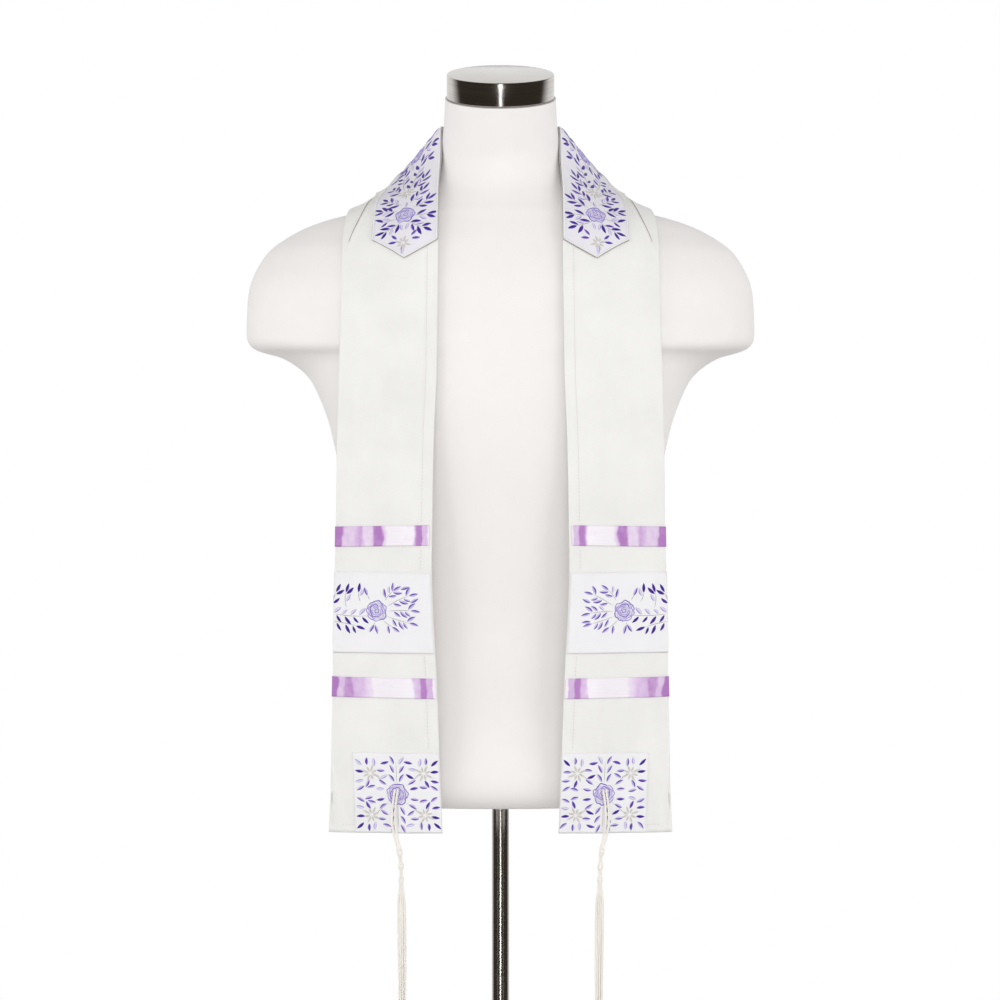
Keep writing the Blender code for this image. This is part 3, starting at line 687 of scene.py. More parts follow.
def neckEnd(across):  # height of the pointed end over the hem
    middle = (neckband["across"][0] + neckband["across"][1]) / 2
    half = (neckband["across"][1] - neckband["across"][0]) / 2
    rise = np.where(across < middle, *neckband["points"])
    return neckband["tip"] + rise * np.abs(across - middle) / half


def neckAt(u, v):
    across = between(neckband["across"], v)
    end = neckEnd(across) + neckband["rim"]
    return clothPoint(end + u * (shawlLength - 2 * end), across, neckband["out"])


neckLength = shawlLength - 2 * neckband["tip"]
neckFlat = (neckLength * mm, neckband["cutWidth"])
neckRows = int(neckLength / neckband["rowStep"])
addSheet("neckbandCloth", "neckband", neckRows, 26, neckAt, neckFlat, "neckband", "neckband_cloth",
         neckband["thick"])


# Stitching: each stitch is a little grid laid out in (across, along, out) and then put on the cloth
stitching = {"bandOut": 0.58, "neckOut": 1.22}  # how far out from the cloth the stitches lie
needle = {"out": stitching["bandOut"]}  # and where the needle works now
stitchedOver = []  # places and half widths that later leaves keep clear of


def newWork(out=stitching["bandOut"]):
    stitchedOver.clear()
    needle["out"] = out
    work = bmesh.new()
    work.verts.layers.float_color.new("thread")
    work.verts.layers.float_vector.new("stitch")
    return work


def patch(work, rows, columns, shape):
    made = bmesh.ops.create_grid(work, x_segments=rows, y_segments=columns, size=0.5)["verts"]
    u = np.array([v.co.x for v in made]) + 0.5
    v = np.array([v.co.y for v in made]) + 0.5
    places, colours, stitch = shape(u, v)
    colour = work.verts.layers.float_color["thread"]
    local = work.verts.layers.float_vector["stitch"]
    for vert, p, c, s in zip(made, places.tolist(), colours.tolist(), stitch.tolist()):
        vert.co = p
        vert[colour] = c
        vert[local] = s
    return made


threadColours = {  # linear colours
    "deep": (0.035, 0.007, 0.200), "dark": (0.062, 0.014, 0.330), "violet": (0.150, 0.060, 0.560),
    "lilac": (0.400, 0.290, 0.790), "pale": (0.700, 0.620, 0.930), "white": (0.870, 0.845, 0.960),
    "beige": (0.560, 0.500, 0.430), "grey": (0.300, 0.270, 0.275), "cream": (0.985, 0.950, 0.885),
    "plain": (0.900, 0.895, 0.900), "brown": (0.330, 0.250, 0.230), "seam": (0.560, 0.545, 0.530),
}
leafTones = {  # across a leaf, from its right side to its left
    "dark": ("violet", "dark", "deep", "dark", "dark", "violet", "violet"),
    "solid": ("violet", "dark", "dark", "violet", "violet", "lilac", "lilac"),
    "split": ("lilac", "pale", "pale", "lilac", "violet", "dark", "violet"),
    "turned": ("violet", "dark", "violet", "lilac", "pale", "pale", "lilac"),
    "light": ("lilac", "pale", "white", "white", "pale", "lilac", "violet"),
    "beige": ("grey", "beige", "cream", "beige", "cream", "beige", "grey"),
}
leafShape = {
    "rise": 0.42, "groove": 0.14, "grooveWidth": 0.2, "rows": 9, "slim": 0.33,
    "spots": (0.15, 0.5, 0.86), "room": (0.26, 0.5, 0.26), "apart": 0.15,  # what a leaf keeps clear
}


def hasRoom(spots):
    if stitchedOver:
        taken = np.array(stitchedOver)
        apart = np.linalg.norm(spots[:, None, :2] - taken[None, :, :2], axis=2)
        if (apart < spots[:, None, 2] + taken[None, :, 2] + leafShape["apart"]).any():
            return False
    stitchedOver.extend(spots.tolist())
    return True


def leaf(work, x, z, angle, length, width, tone, bend=0.0, anywhere=False):
    ahead = np.array([math.cos(angle), math.sin(angle)])
    spots = np.array([x, z]) + np.outer(np.array(leafShape["spots"]) * length, ahead)
    spots = np.column_stack([spots, width * np.array(leafShape["room"])])
    if not anywhere and not hasRoom(spots):
        return
    tones = np.array([(*threadColours[t], 1.0) for t in leafTones[tone]])
    columns = len(tones) - 1

    def shape(u, v):
        s = 2 * v - 1
        full = np.sin(pi * u) ** 0.8 * (1.1 - 0.2 * u)
        side = s * full * width / 2 + bend * length * 4 * (u - u * u)
        dome = np.sqrt(np.maximum(1 - s * s, 0)) * np.minimum(full, 1.0) ** 0.6
        groove = leafShape["groove"] * np.exp(-(s / leafShape["grooveWidth"]) ** 2) * full
        places = np.stack([
            x + u * length * ahead[0] - side * ahead[1], z + u * length * ahead[1] + side * ahead[0],
            needle["out"] + leafShape["rise"] * dome - groove,
        ], axis=1)
        colours = tones[np.round(v * columns).astype(int)]
        return places, colours, np.stack([u * length * mm, np.abs(side) * mm, 0 * u], axis=1)

    patch(work, leafShape["rows"], columns, shape)


def cord(work, points, half, rise, tone, taper=True):  # a raised line of satin stitch
    points = np.asarray(points, float)
    count = len(points) - 1
    heading = np.gradient(points, axis=0)
    heading /= np.linalg.norm(heading, axis=1)[:, None]
    colour = (*threadColours[tone], 1.0)
    run = distances(points)
    sunk = 0.05

    def shape(u, v):
        i = np.round(u * count).astype(int)
        s = 2 * v - 1
        full = np.sin(pi * np.clip(u, 0.04, 0.96)) ** 0.35 if taper else np.ones_like(u)
        out = needle["out"] - sunk + (rise + sunk) * np.sqrt(np.maximum(1 - s * s, 0)) * full
        aside = s * half * full
        x, z = points[i].T
        places = np.stack([x - aside * heading[i, 1], z + aside * heading[i, 0], out], axis=1)
        return places, np.tile(colour, (len(u), 1)), np.stack([run[i] * mm, s * half * mm, 0 * u], axis=1)

    patch(work, count, 4, shape)


def arcPath(x, z, angle, length, curve, count=14):  # a stem that turns evenly by curve radians
    t = np.linspace(0, 1, count + 1)
    heading = angle + curve * t
    stepX, stepZ = np.cos(heading) * length / count, np.sin(heading) * length / count
    return np.stack([x + np.cumsum(stepX) - stepX[0], z + np.cumsum(stepZ) - stepZ[0]], axis=1), heading


def spray(work, x, z, angle, length, curve, leaves, tones, size, lean):  # leaves by turns beside a stem
    points, heading = arcPath(x, z, angle, length, curve)
    cord(work, points, 0.28, 0.22, "grey")
    for k in range(leaves):
        i = min(int((k + 0.8) / (leaves + 0.4) * (len(points) - 1)), len(points) - 2)
        way = 1 if k % 2 else -1
        turn = heading[i] + way * lean
        grow = size * (1.05 - 0.12 * (k % 3))
        start = points[i] + 1.1 * np.array([math.cos(turn), math.sin(turn)])
        leaf(work, *start, turn, grow, grow * leafShape["slim"], tones[k % len(tones)], 0.05 * way)
    leaf(work, *points[-1], heading[-1] + 0.1, size, size * leafShape["slim"], tones[-1])


def star(work, x, z, radius, turned):
    for k in range(8):
        angle = turned + k * pi / 4
        reach = radius * (1.0, 0.62, 0.85, 0.7)[k % 4]
        start = (x + 1.2 * math.cos(angle), z + 1.2 * math.sin(angle))
        leaf(work, *start, angle, reach, 1.7, "beige", anywhere=True)
    stitchedOver.append([x, z, 0.42 * radius])


def rose(work, x, z, radius, turned, seed):
    pick = random.Random(seed)
    stitchedOver.append([x, z, radius])
    ground = np.array([(*threadColours[tone], 1.0) for tone in ("white", "white", "pale", "white", "pale")])

    def ruffle(angle):
        return 1 + 0.05 * np.sin(5 * angle + seed) + 0.025 * np.sin(11 * angle + 2 * seed)

    def disc(u, v):
        angle = 2 * pi * v
        reach = radius * 0.93 * u * ruffle(angle)
        shade = np.clip(np.round(2 + 2 * np.sin(9 * u + 3 * np.sin(2 * angle + seed))), 0, 4).astype(int)
        out = needle["out"] + 0.16 * (1 - u**4)
        places = np.stack([x + reach * np.cos(angle), z + reach * np.sin(angle), out], axis=1)
        return places, ground[shade], np.stack([u * radius * mm, 2 * v * radius * mm, 0 * u], axis=1)

    made = patch(work, 10, 40, disc)
    bmesh.ops.remove_doubles(work, verts=made, dist=1e-4)

    def petal(middle, half, reach, off, tone, thick):
        t = np.linspace(-1, 1, 19)
        angle = middle + t * half
        swell = radius * reach * (0.86 + 0.15 * np.cos(t * pi / 2)) * ruffle(angle * 1.3 + reach * 9)
        path = np.stack([x + off[0] + swell * np.cos(angle), z + off[1] + swell * np.sin(angle)], axis=1)
        cord(work, path, radius * thick, 0.40, tone)

    for k in range(5):
        middle = turned + (k + pick.uniform(-0.15, 0.15)) * 2 * pi / 5
        petal(middle, pi / 5 * 1.32, 0.98, (0, 0), "violet" if k % 2 else "lilac", 0.052)
        petal(middle + 0.15, pi / 5 * 0.95, 0.80, (0, 0), "pale" if k % 2 else "lilac", 0.045)
    shifted = (radius * pick.uniform(-0.08, 0.08), radius * pick.uniform(-0.08, 0.08))
    for k in range(3):
        middle = turned + 0.9 + (k + pick.uniform(-0.2, 0.2)) * 2 * pi / 3
        petal(middle, pi / 3 * 1.18, 0.62, shifted, "lilac" if k == 1 else "violet", 0.050)
        petal(middle + 0.5, pi / 3 * 0.8, 0.45, shifted, "lilac", 0.045)
    # the curl in the middle
    t = np.linspace(0, 1, 40)
    angle = turned + t * 2 * pi * 1.5
    reach = radius * (0.32 - 0.25 * t) * (1 + 0.12 * np.sin(5 * angle))
    path = np.stack([x + shifted[0] + reach * np.cos(angle), z + shifted[1] + reach * np.sin(angle)], axis=1)
    cord(work, path, radius * 0.045, 0.36, "violet")


def finishStitches(work, name, side, slot, bottom):  # bottom: height of the drawing's lower edge over the hem
    if side < 0:
        bmesh.ops.reverse_faces(work, faces=work.faces[:])
    mesh = meshOf(work, name)
    flat = np.empty(3 * len(mesh.vertices), np.float32)
    mesh.vertices.foreach_get("co", flat)
    across, height, out = flat.reshape(-1, 3).T
    setPlaces(mesh, clothPoint(place(side, bottom + height), across, out))
    made = newObject(name, mesh, finishes["thread"])
    smooth(made, 60.0)
    rides(made, slot)


def wobbler(seed, spread=5.0):  # an angle in radians, a few degrees off
    pick = random.Random(seed)
    return pick, lambda degrees: math.radians(degrees + pick.uniform(-spread, spread))


def drawPanel(work, side):
    wobble, a = wobbler(11 + side)
    rose(work, 54.5, 41.0, 10.0, 0.2, 3 + side)
    # leafy stems towards the outer fold
    pair = ("light", "dark")
    for x, z, degrees, length, curve, count, tones, lean in (
        (101, 39, 192, 40, -0.30, 9, pair, 0.80), (101, 31, 184, 26, 0.20, 6, pair, 0.95),
        (100, 41, 96, 19, 0.35, 4, ("dark", "dark", "light", "dark"), 0.7),
        (84, 44, 74, 15, 0.6, 4, ("dark", "light", "dark", "dark"), 0.7),
        (70, 50, 62, 9, 0.5, 3, ("solid", "light", "dark"), 0.7),
    ):
        spray(work, x, z, a(degrees), length, curve, count, tones, 9.6, lean)
    # lighter ones on the inner side of the rose
    fan = ("split", "turned", "light", "split", "turned")
    for x, z, degrees, length, curve, count in (
        (46, 51, 118, 13, 0.4, 4), (43, 46, 146, 23, 0.25, 7), (43, 41, 176, 22, 0.20, 7),
        (44, 36, 200, 22, -0.12, 7), (48, 32, 228, 10, -0.30, 3), (57, 30, 300, 2, 0.0, 1),
        (61, 52, 60, 4, 0.0, 1),
    ):
        spray(work, x, z, a(degrees), length, curve, count, fan, 9.2, 0.75)
    for x, z, degrees in (
        (30, 62, 160), (24, 55, 172), (21, 49, 150), (22, 31, 186), (27, 25, 200), (38, 60, 96),
        (66, 55, 40), (72, 62, 70), (88, 58, 60), (92, 26, 200), (78, 25, 190),
    ):
        leaf(work, x, z, a(degrees), 9.0, 3.0, wobble.choice(fan))
    for height, tone in ((0.9, "seam"), (1.9, "plain"), (76.6, "plain")):
        cord(work, [(k, height) for k in range(2, 102)], 0.16, 0.10, tone, taper=False)


squareLeaves = (  # one quarter of the square: from its middle, direction, length, tone
    (34.0, 27.5, 42, 9.5, "dark"), (29.0, 28.5, 92, 7.5, "solid"), (32.5, 21.5, 6, 8.5, "dark"),
    (33.0, 13.5, -8, 8.5, "solid"), (32.5, 8.0, -30, 9.0, "turned"), (22.5, 26.5, 86, 8.5, "light"),
    (16.0, 29.5, 168, 9.0, "solid"), (20.5, 23.5, 178, 8.5, "split"), (10.5, 20.5, 142, 9.0, "turned"),
    (27.0, 14.0, -64, 8.5, "solid"), (21.5, 8.0, -12, 8.5, "split"), (17.0, 15.5, 150, 9.0, "dark"),
    (11.0, 9.5, 30, 9.0, "split"), (12.5, 4.5, 6, 8.5, "solid"), (24.5, 3.0, 16, 8.5, "turned"),
    (18.5, 18.5, 88, 8.0, "light"), (34.0, 3.5, 0, 7.0, "split"),
)


def drawSquare(work, side):
    wobble, a = wobbler(21 + side, 6.0)
    x0, z0, tight = 41.8, 37.4, 0.985
    rose(work, x0, z0, 10.4, 0.5, 7 + side)
    for sx in (-1, 1):
        for sz in (-1, 1):

            def turned(degrees):  # a direction in this quarter
                angle = a(degrees)
                return math.atan2(sz * math.sin(angle), sx * math.cos(angle))

            star(work, x0 + sx * 26, z0 + sz * 20, 9.0, wobble.uniform(0.2, 0.5))
            tones = ("split", "turned", "split") if sx * sz > 0 else ("turned", "split", "light")
            for k, tone in enumerate(tones):
                leaf(work, x0 + sx * 2.4, z0 + sz * (11.8 + 8.4 * k), turned(58), 9.4, 3.0, tone, sx * 0.05)
            for x, z, degrees, length, tone in squareLeaves:
                angle = turned(degrees)
                if wobble.random() < 0.3:
                    tone = wobble.choice(("light", "split", "turned"))
                x, z = x * tight + wobble.uniform(-0.4, 0.4), z * tight + wobble.uniform(-0.4, 0.4)
                leaf(work, x0 + sx * x, z0 + sz * z, angle, length, 3.0, tone, wobble.uniform(-0.06, 0.06))
            stem = math.atan2(sz * 0.62, sx * 0.8)
            cord(work, arcPath(x0 + sx * 9, z0 + sz * 8, stem, 19, 0.12 * sx * sz)[0], 0.25, 0.2, "grey")
        cord(work, [(x0 + 0.1 * sx, z0 + sx * (11 + 2 * k)) for k in range(11)], 0.22, 0.2, "grey")


# Round a rose: place from its middle, direction, length, curve, leaves, tones, leaf size, lean
roseSprays = (
    (3, -9, -42, 19, 0.35, 5, ("dark", "solid", "light", "dark", "dark"), 10.2, 0.62),
    (9, -3, -12, 14, 0.3, 4, ("dark", "light", "dark", "dark"), 10.2, 0.6),
    (8, 8, 12, 16, 0.35, 5, ("dark", "dark", "light", "dark", "dark"), 10.2, 0.62),
    (3, 15, 34, 21, 0.3, 5, ("dark", "light", "dark", "solid", "dark"), 10.2, 0.6),
    (5, 36, 38, 20, 0.45, 5, ("dark", "dark", "light", "dark"), 10.4, 0.62),
    (2.5, 38, 72, 42, 0.12, 8, ("dark", "light", "dark", "dark"), 10.4, 0.66),
)
napeSprays = (
    (4, -10, -40, 20, 0.35, 5, ("dark", "light", "dark", "solid"), 10.2, 0.62),
    (9, -2, -14, 16, 0.2, 4, ("dark", "dark", "light", "dark"), 10.2, 0.62),
)


def drawNeckband(work, side):  # second coordinate: height over the hem
    a = wobbler(31 + side)[1]
    x0, nape = 33.2, shawlLength / 2

    def mirrored(sx, degrees):
        return a(degrees) if sx > 0 else pi - a(degrees)

    def sprays(height, rows):
        for sx in (-1, 1):
            for x, z, degrees, length, curve, leaves, tones, size, lean in rows:
                turn = mirrored(sx, degrees)
                spray(work, x0 + sx * x, height + z, turn, length, curve * sx, leaves, tones, size, lean)

    star(work, x0 + 1, 569, 7.5, 0.35)
    leaf(work, x0 + 1, 565.5, a(-88), 8.0, 2.9, "light")
    for sx in (-1, 1):
        raised = (sx < 0) * 2
        leaf(work, x0 + sx * 7.5, 570.5 + raised, mirrored(sx, 0), 8.5, 2.8, "solid")
        leaf(work, x0 + sx * 7.0, 573.5 + raised, mirrored(sx, 46), 8.0, 2.7, "solid")
    for middle in (602.0, 700.0):
        rose(work, x0, middle, 9.8, 0.4, int(middle))
        sprays(middle, roseSprays)
        for k, degrees in enumerate((-108, -90, -74)):
            leaf(work, x0 + 4 - 4 * k, middle - 11.5, a(degrees), 8.5 + 1.5 * (k % 2), 2.7, "light")
        leaf(work, x0, middle + 11, a(96), 8.0, 2.8, "light")
        star(work, x0, middle + 33, 9.5, 0.1)
    if side < 0:
        rose(work, x0, nape, 9.8, 0.4, 5)
    sprays(nape, napeSprays)


for side, word in sideNames.items():
    for piece, draw, slot, out, bottom in (
        ("panel", drawPanel, "panel_cloth", stitching["bandOut"], panel["edges"][0]),
        ("square", drawSquare, "panel_cloth", stitching["bandOut"], 0.0),
        ("neck", drawNeckband, "neckband_cloth", stitching["neckOut"], 0.0),
    ):
        work = newWork(out)
        draw(work, side)
        finishStitches(work, f"{piece}Embroidery{word}", side, slot, bottom)
print("embroidery stitched")


# Round cords: rims, strands and knots
def tube(work, points, radius, sides=8, tone="cream", closed=False):
    points = np.asarray(points, float)
    count = len(points) - 1
    radius = np.broadcast_to(radius, len(points))
    if closed:
        heading = np.roll(points[:-1], -1, axis=0) - np.roll(points[:-1], 1, axis=0)
        heading = np.vstack([heading, heading[:1]])
    else:
        heading = np.gradient(points, axis=0)
    heading /= np.linalg.norm(heading, axis=1)[:, None]
    aside = np.cross(heading, (0.0, 1.0, 0.0))
    small = np.linalg.norm(aside, axis=1) < 0.3
    aside[small] = np.cross(heading[small], (1.0, 0.0, 0.0))
    aside /= np.linalg.norm(aside, axis=1)[:, None]
    other = np.cross(aside, heading)
    run = distances(points)
    colour = (*threadColours[tone], 1.0)

    def shape(u, v):
        i = np.round(u * count).astype(int)
        angle = 2 * pi * v
        around = aside[i] * np.cos(angle)[:, None] - other[i] * np.sin(angle)[:, None]
        local = np.stack([run[i] * mm, v * 2 * pi * radius[i] * mm, 0 * u], axis=1)
        return points[i] + around * radius[i][:, None], np.tile(colour, (len(u), 1)), local

    made = patch(work, count, sides, shape)
    bmesh.ops.remove_doubles(work, verts=made, dist=1e-5)


def sewnTube(work, along, across, out, radius, sides, tone, closed=False):  # a tube on the cloth
    tube(work, clothPoint(along, across, out), radius, sides, tone, closed)


def finishTubes(work, name, finish, slot, *nodes):
    bmesh.ops.holes_fill(work, edges=[e for e in work.edges if e.is_boundary], sides=12)
    bmesh.ops.scale(work, vec=(mm, mm, mm), verts=work.verts[:])
    made = newObject(name, meshOf(work, name, True), finishes[finish])
    smooth(made, 70.0)
    rides(made, slot, *nodes)


def rimPath():  # round the neckband's border, corner by corner: along, across
    inset, tip, far = neckband["rim"], neckband["tip"] + neckband["rim"] * 1.3, shawlLength
    lo, hi = neckband["across"][0] + inset, neckband["across"][1] - inset
    middle = (lo + hi) / 2
    corners = [
        (neckEnd(lo) + inset, lo), (tip, middle), (neckEnd(hi) + inset, hi),
        (far - neckEnd(hi) - inset, hi), (far - tip, middle), (far - neckEnd(lo) - inset, lo),
    ]
    path = []
    for (a0, r0), (a1, r1) in zip(corners, corners[1:] + corners[:1]):
        count = max(2, int(math.hypot(a1 - a0, r1 - r0) / 2.0))
        path += [(a0 + (a1 - a0) * k / count, r0 + (r1 - r0) * k / count) for k in range(count)]
    return np.array(path + path[:1])


def offsetPath(path, away):  # beside a closed path, outwards
    outwards = np.sign(np.sum(path[:-1, 0] * path[1:, 1] - path[1:, 0] * path[:-1, 1]))
    ahead = np.roll(path[:-1], -1, axis=0) - np.roll(path[:-1], 1, axis=0)
    ahead /= np.linalg.norm(ahead, axis=1)[:, None]
    moved = path[:-1] + np.stack([ahead[:, 1], -ahead[:, 0]], axis=1) * away * outwards
    return np.vstack([moved, moved[:1]])


border = rimPath()
work = newWork()
sewnTube(work, *border.T, neckband["rimOut"], neckband["rim"], 8, "plain", closed=True)
finishTubes(work, "neckbandRim", "rim", "neckband_cloth")
# a thin dark line outside the rim, partly painted shadow where the rim meets the cloth and partly the brown
# of its overcast stitches; then the overcast stitches
work = newWork()
beside = offsetPath(border, neckband["lineAway"])
sewnTube(work, *beside.T, neckband["lineOut"], neckband["line"], 5, "brown", closed=True)
near, far = (offsetPath(border, away) for away in neckband["stitch"])
for start, end in zip(near[:-1], far):
    ends = np.linspace(start, end + (neckband["stitchLean"], 0.0), 4)
    sewnTube(work, *ends.T, np.linspace(*neckband["stitchOut"], 4), neckband["stitchThick"], 5, "brown")
finishTubes(work, "neckbandStitches", "rim", "neckband_cloth")
print("neckband rimmed")

hems = {
    "inner": 10.4, "from": 82.0, "to": 572.0,  # the long hem: distance from the neck edge, and its heights
    "end": 8.0, "beside": 1.2, "endTo": 98.0,  # the end hem: height, from the square, to the fold
    "stitch": 2.0, "pitch": 3.3, "thick": 0.16, "out": 0.02, "clear": 1.5,
}
paintedFoldShadow = {"heights": (584.0, 658.0), "half": 0.32, "out": 0.1, "points": 60}
covered = []  # the heights that bands hide
for band in (*ribbons.values(), panel):
    bottom = band["edges"][0]
    covered.append((bottom - hems["clear"], bottom + band["tall"] + hems["clear"]))
for side, word in sideNames.items():
    work = newWork()
    shake = random.Random(61 + side)
    height = hems["from"]
    while height < hems["to"]:
        end = height + hems["stitch"]
        if not any(low < end and height < high for low, high in covered):
            across = hems["inner"] + shake.uniform(-0.12, 0.12)
            along = place(side, np.linspace(height, end, 4))
            sewnTube(work, along, across, hems["out"], hems["thick"], 5, "seam")
        height += hems["pitch"]
    across = square["across"][1] + hems["beside"]
    while across < hems["endTo"]:
        along = place(side, hems["end"] + shake.uniform(-0.1, 0.1))
        stitch = np.linspace(across, across + hems["stitch"], 4)
        sewnTube(work, along, stitch, hems["out"], hems["thick"], 5, "seam")
        across += hems["pitch"]
    finishTubes(work, f"hemStitches{word}", "rim", "shawl_cloth")
# a painted shadow: a thin brown cord laid along the crease where the front layer's fold lies over the
# shoulder flank
work = newWork()
thin = np.sin(np.linspace(0.12, pi - 0.12, paintedFoldShadow["points"])) ** 0.5
for side in sideNames:
    along = place(side, np.linspace(*paintedFoldShadow["heights"], paintedFoldShadow["points"]))
    across = widthAt(along) - formAt(along)[:, 1]
    sewnTube(work, along, across, paintedFoldShadow["out"], paintedFoldShadow["half"] * thin, 6, "brown")
finishTubes(work, "paintedFoldShadow", "rim", "shawl_cloth")
print("hems stitched")

tassel = {
    # height over the hem, distance from the neck edge
    "hang": ((42, 42.3), (0, 45), (-14, 41.5), (-26, 39.8), (-44, 39.2), (-116, 38.4), (-240, 38)),
    "root": 42.0, "out": 1.6, "forward": -2.6,
    "cordLength": 58, "cordApart": 1.45, "cordForward": -1.3, "cordPly": 0.62, "cordTurn": 4.6,
    "eyelet": (2.2, 1.2, 0.3),  # how far back the cords' first points go, into the cloth
    "knots": (60.0, 73.0, 86.0), "wraps": (1.65, 2.05, 2.05, 1.65), "wrapStep": 1.55, "wrapThick": 0.85,
    "bare": (56, 88), "bareApart": 0.8, "barePly": 0.6,
    "strands": 8, "strandsFrom": 85, "tips": 236.0, "tipStep": 6, "ply": 0.52, "plyTurn": 5.2,
    "spread": (2.15, 2.5),
}
hangAt = splineThrough([-h for h, a in tassel["hang"]], [a for h, a in tassel["hang"]])


def hangPlace(side, height, aside=0.0, forward=tassel["forward"]):  # the tassel's line, in millimetres
    height = np.asarray(height, float)
    on = clothPoint(place(side, np.maximum(height, 0.5)), hangAt(-height)[:, 0], tassel["out"])
    on[:, 2] += np.minimum(height - 0.5, 0.0)
    return on + np.array([aside, forward, 0.0])


def twisted(work, line, radius, turn, phase, plies=2):  # a cord of plies laid round a line
    run = distances(line)
    fine = np.arange(0, run[-1], 0.75)
    middle = np.stack([np.interp(fine, run, line[:, k]) for k in range(3)], axis=1)
    for ply in range(plies):
        angle = phase + 2 * pi * fine / turn + 2 * pi * ply / plies
        around = np.stack([np.cos(angle), np.sin(angle), 0 * angle], axis=1)
        tube(work, middle + around * radius * 0.95, radius, 6)


for side, word in sideNames.items():
    work = newWork()
    shake = random.Random(41 + side)
    root = tassel["root"]
    # two doubled cords from the eyelet to the first knot
    heights = np.linspace(root, root - tassel["cordLength"], 40)
    for way in (-1, 1):
        line = hangPlace(side, heights, way * tassel["cordApart"], tassel["cordForward"])
        line[:3, 1] += tassel["eyelet"]
        twisted(work, line, tassel["cordPly"], tassel["cordTurn"], 0.7 * way)
    # knots: a few wraps each
    angle = np.linspace(0, 2 * pi, 19)
    for down in tassel["knots"]:
        for wrap, swell in enumerate(tassel["wraps"]):
            centre = hangPlace(side, [root - down + (wrap - 1.5) * tassel["wrapStep"]])[0]
            tilt = 0.35 * np.cos(angle + shake.uniform(0, 1.2))
            ring = centre + np.stack([swell * np.cos(angle), 0.9 * swell * np.sin(angle), tilt], axis=1)
            tube(work, ring, tassel["wrapThick"], 6, closed=True)
    # short bare cords between the knots, then eight strands
    heights = np.linspace(*(root - down for down in tassel["bare"]), 24)
    for way in (-1, 1):
        line = hangPlace(side, heights, way * tassel["bareApart"])
        twisted(work, line, tassel["barePly"], tassel["cordTurn"], 1.1 * way)
    top = root - tassel["strandsFrom"]
    share = np.linspace(0, 1, 60)
    opened = smoothStep(share * 7) * 0.72 + 0.28
    for k in range(tassel["strands"]):
        layer, column = divmod(k, 4)
        tip = -tassel["tips"] + tassel["tipStep"] * (k % 3)
        line = hangPlace(side, top + (tip - top) * share)
        line[:, 0] += (column - 1.5) * tassel["spread"][0] * opened + np.sin(5 * share + k) * share
        line[:, 1] += (layer - 0.5) * tassel["spread"][1] * opened
        twisted(work, line, tassel["ply"], tassel["plyTurn"], k * 1.3)
    finishTubes(work, f"tassel{word}", "wool", "fringe_wool", f"fringe_{word.lower()}")
print("tassels tied")

# The form, a smooth loft
form = {
    "sections": (
        # height, half width, centre y, front, back, fullness, taper, lean in degrees
        (861, 147, 0, 98, 92, 2.4, .50, 0), (865, 152, 0, 103, 97, 2.4, .50, 0),
        (930, 151, 0, 104, 96, 2.4, .50, 0), (1000, 145, 0, 102, 92, 2.3, .50, 0),
        (1060, 142, 0, 101, 91, 2.3, .50, 0), (1110, 146, 0, 105, 94, 2.4, .50, 0),
        (1160, 154, 0, 111, 99, 2.5, .50, 0), (1200, 163, 0, 116, 104, 2.6, .50, 0),
        (1242, 173, 0, 118.5, 108, 2.75, .50, 0), (1266, 182.5, 0, 119, 109.5, 2.8, .50, 0),
        (1280, 190, 0, 119, 110, 2.7, .50, 0), (1293, 203.5, 0, 118.5, 110, 2.4, .52, 0),
        (1303, 222, 0, 118, 110, 2.2, .51, 0), (1308, 240, 0, 118, 110, 2.1, .50, 0),
        (1314, 250, 0, 117.5, 109.5, 2.1, .50, 0), (1335, 253.7, 1, 115, 108, 2.0, .50, 0),
        (1360, 252.5, 2, 111, 105, 2.0, .51, 0), (1377, 249.5, 2.5, 107, 102, 2.0, .53, 0),
        (1392, 243, 3, 102, 99, 2.0, .57, 0), (1407, 233, 3.5, 97, 95, 2.0, .62, 0),
        (1420, 217, 4, 92, 90, 2.0, .70, 0), (1428, 203.5, 4.5, 88.5, 86.5, 2.0, .73, 0),
        (1435, 188, 5, 85, 84, 2.0, .74, 0), (1441, 170, 5, 82, 82, 2.0, .74, 0),
        (1447, 146, 5.5, 79, 79, 2.0, .72, 0), (1452, 126, 6, 76, 77, 2.0, .66, 0),
        (1460, 103, 6, 71, 74, 2.0, .58, 0), (1470, 84, 6, 66, 70, 2.0, .52, 1),
        (1484, 70, 4, 61, 66, 2.0, .50, 3), (1500, 62, 0, 57, 62, 2.0, .50, 6),
        (1520, 58, -7, 55.5, 58, 2.0, .50, 10), (1540, 56, -14, 54.5, 56, 2.0, .50, 14),
        (1559, 55, -20, 54, 54, 2.0, .50, 18),
    ),
    "around": 192, "levels": 260,
}


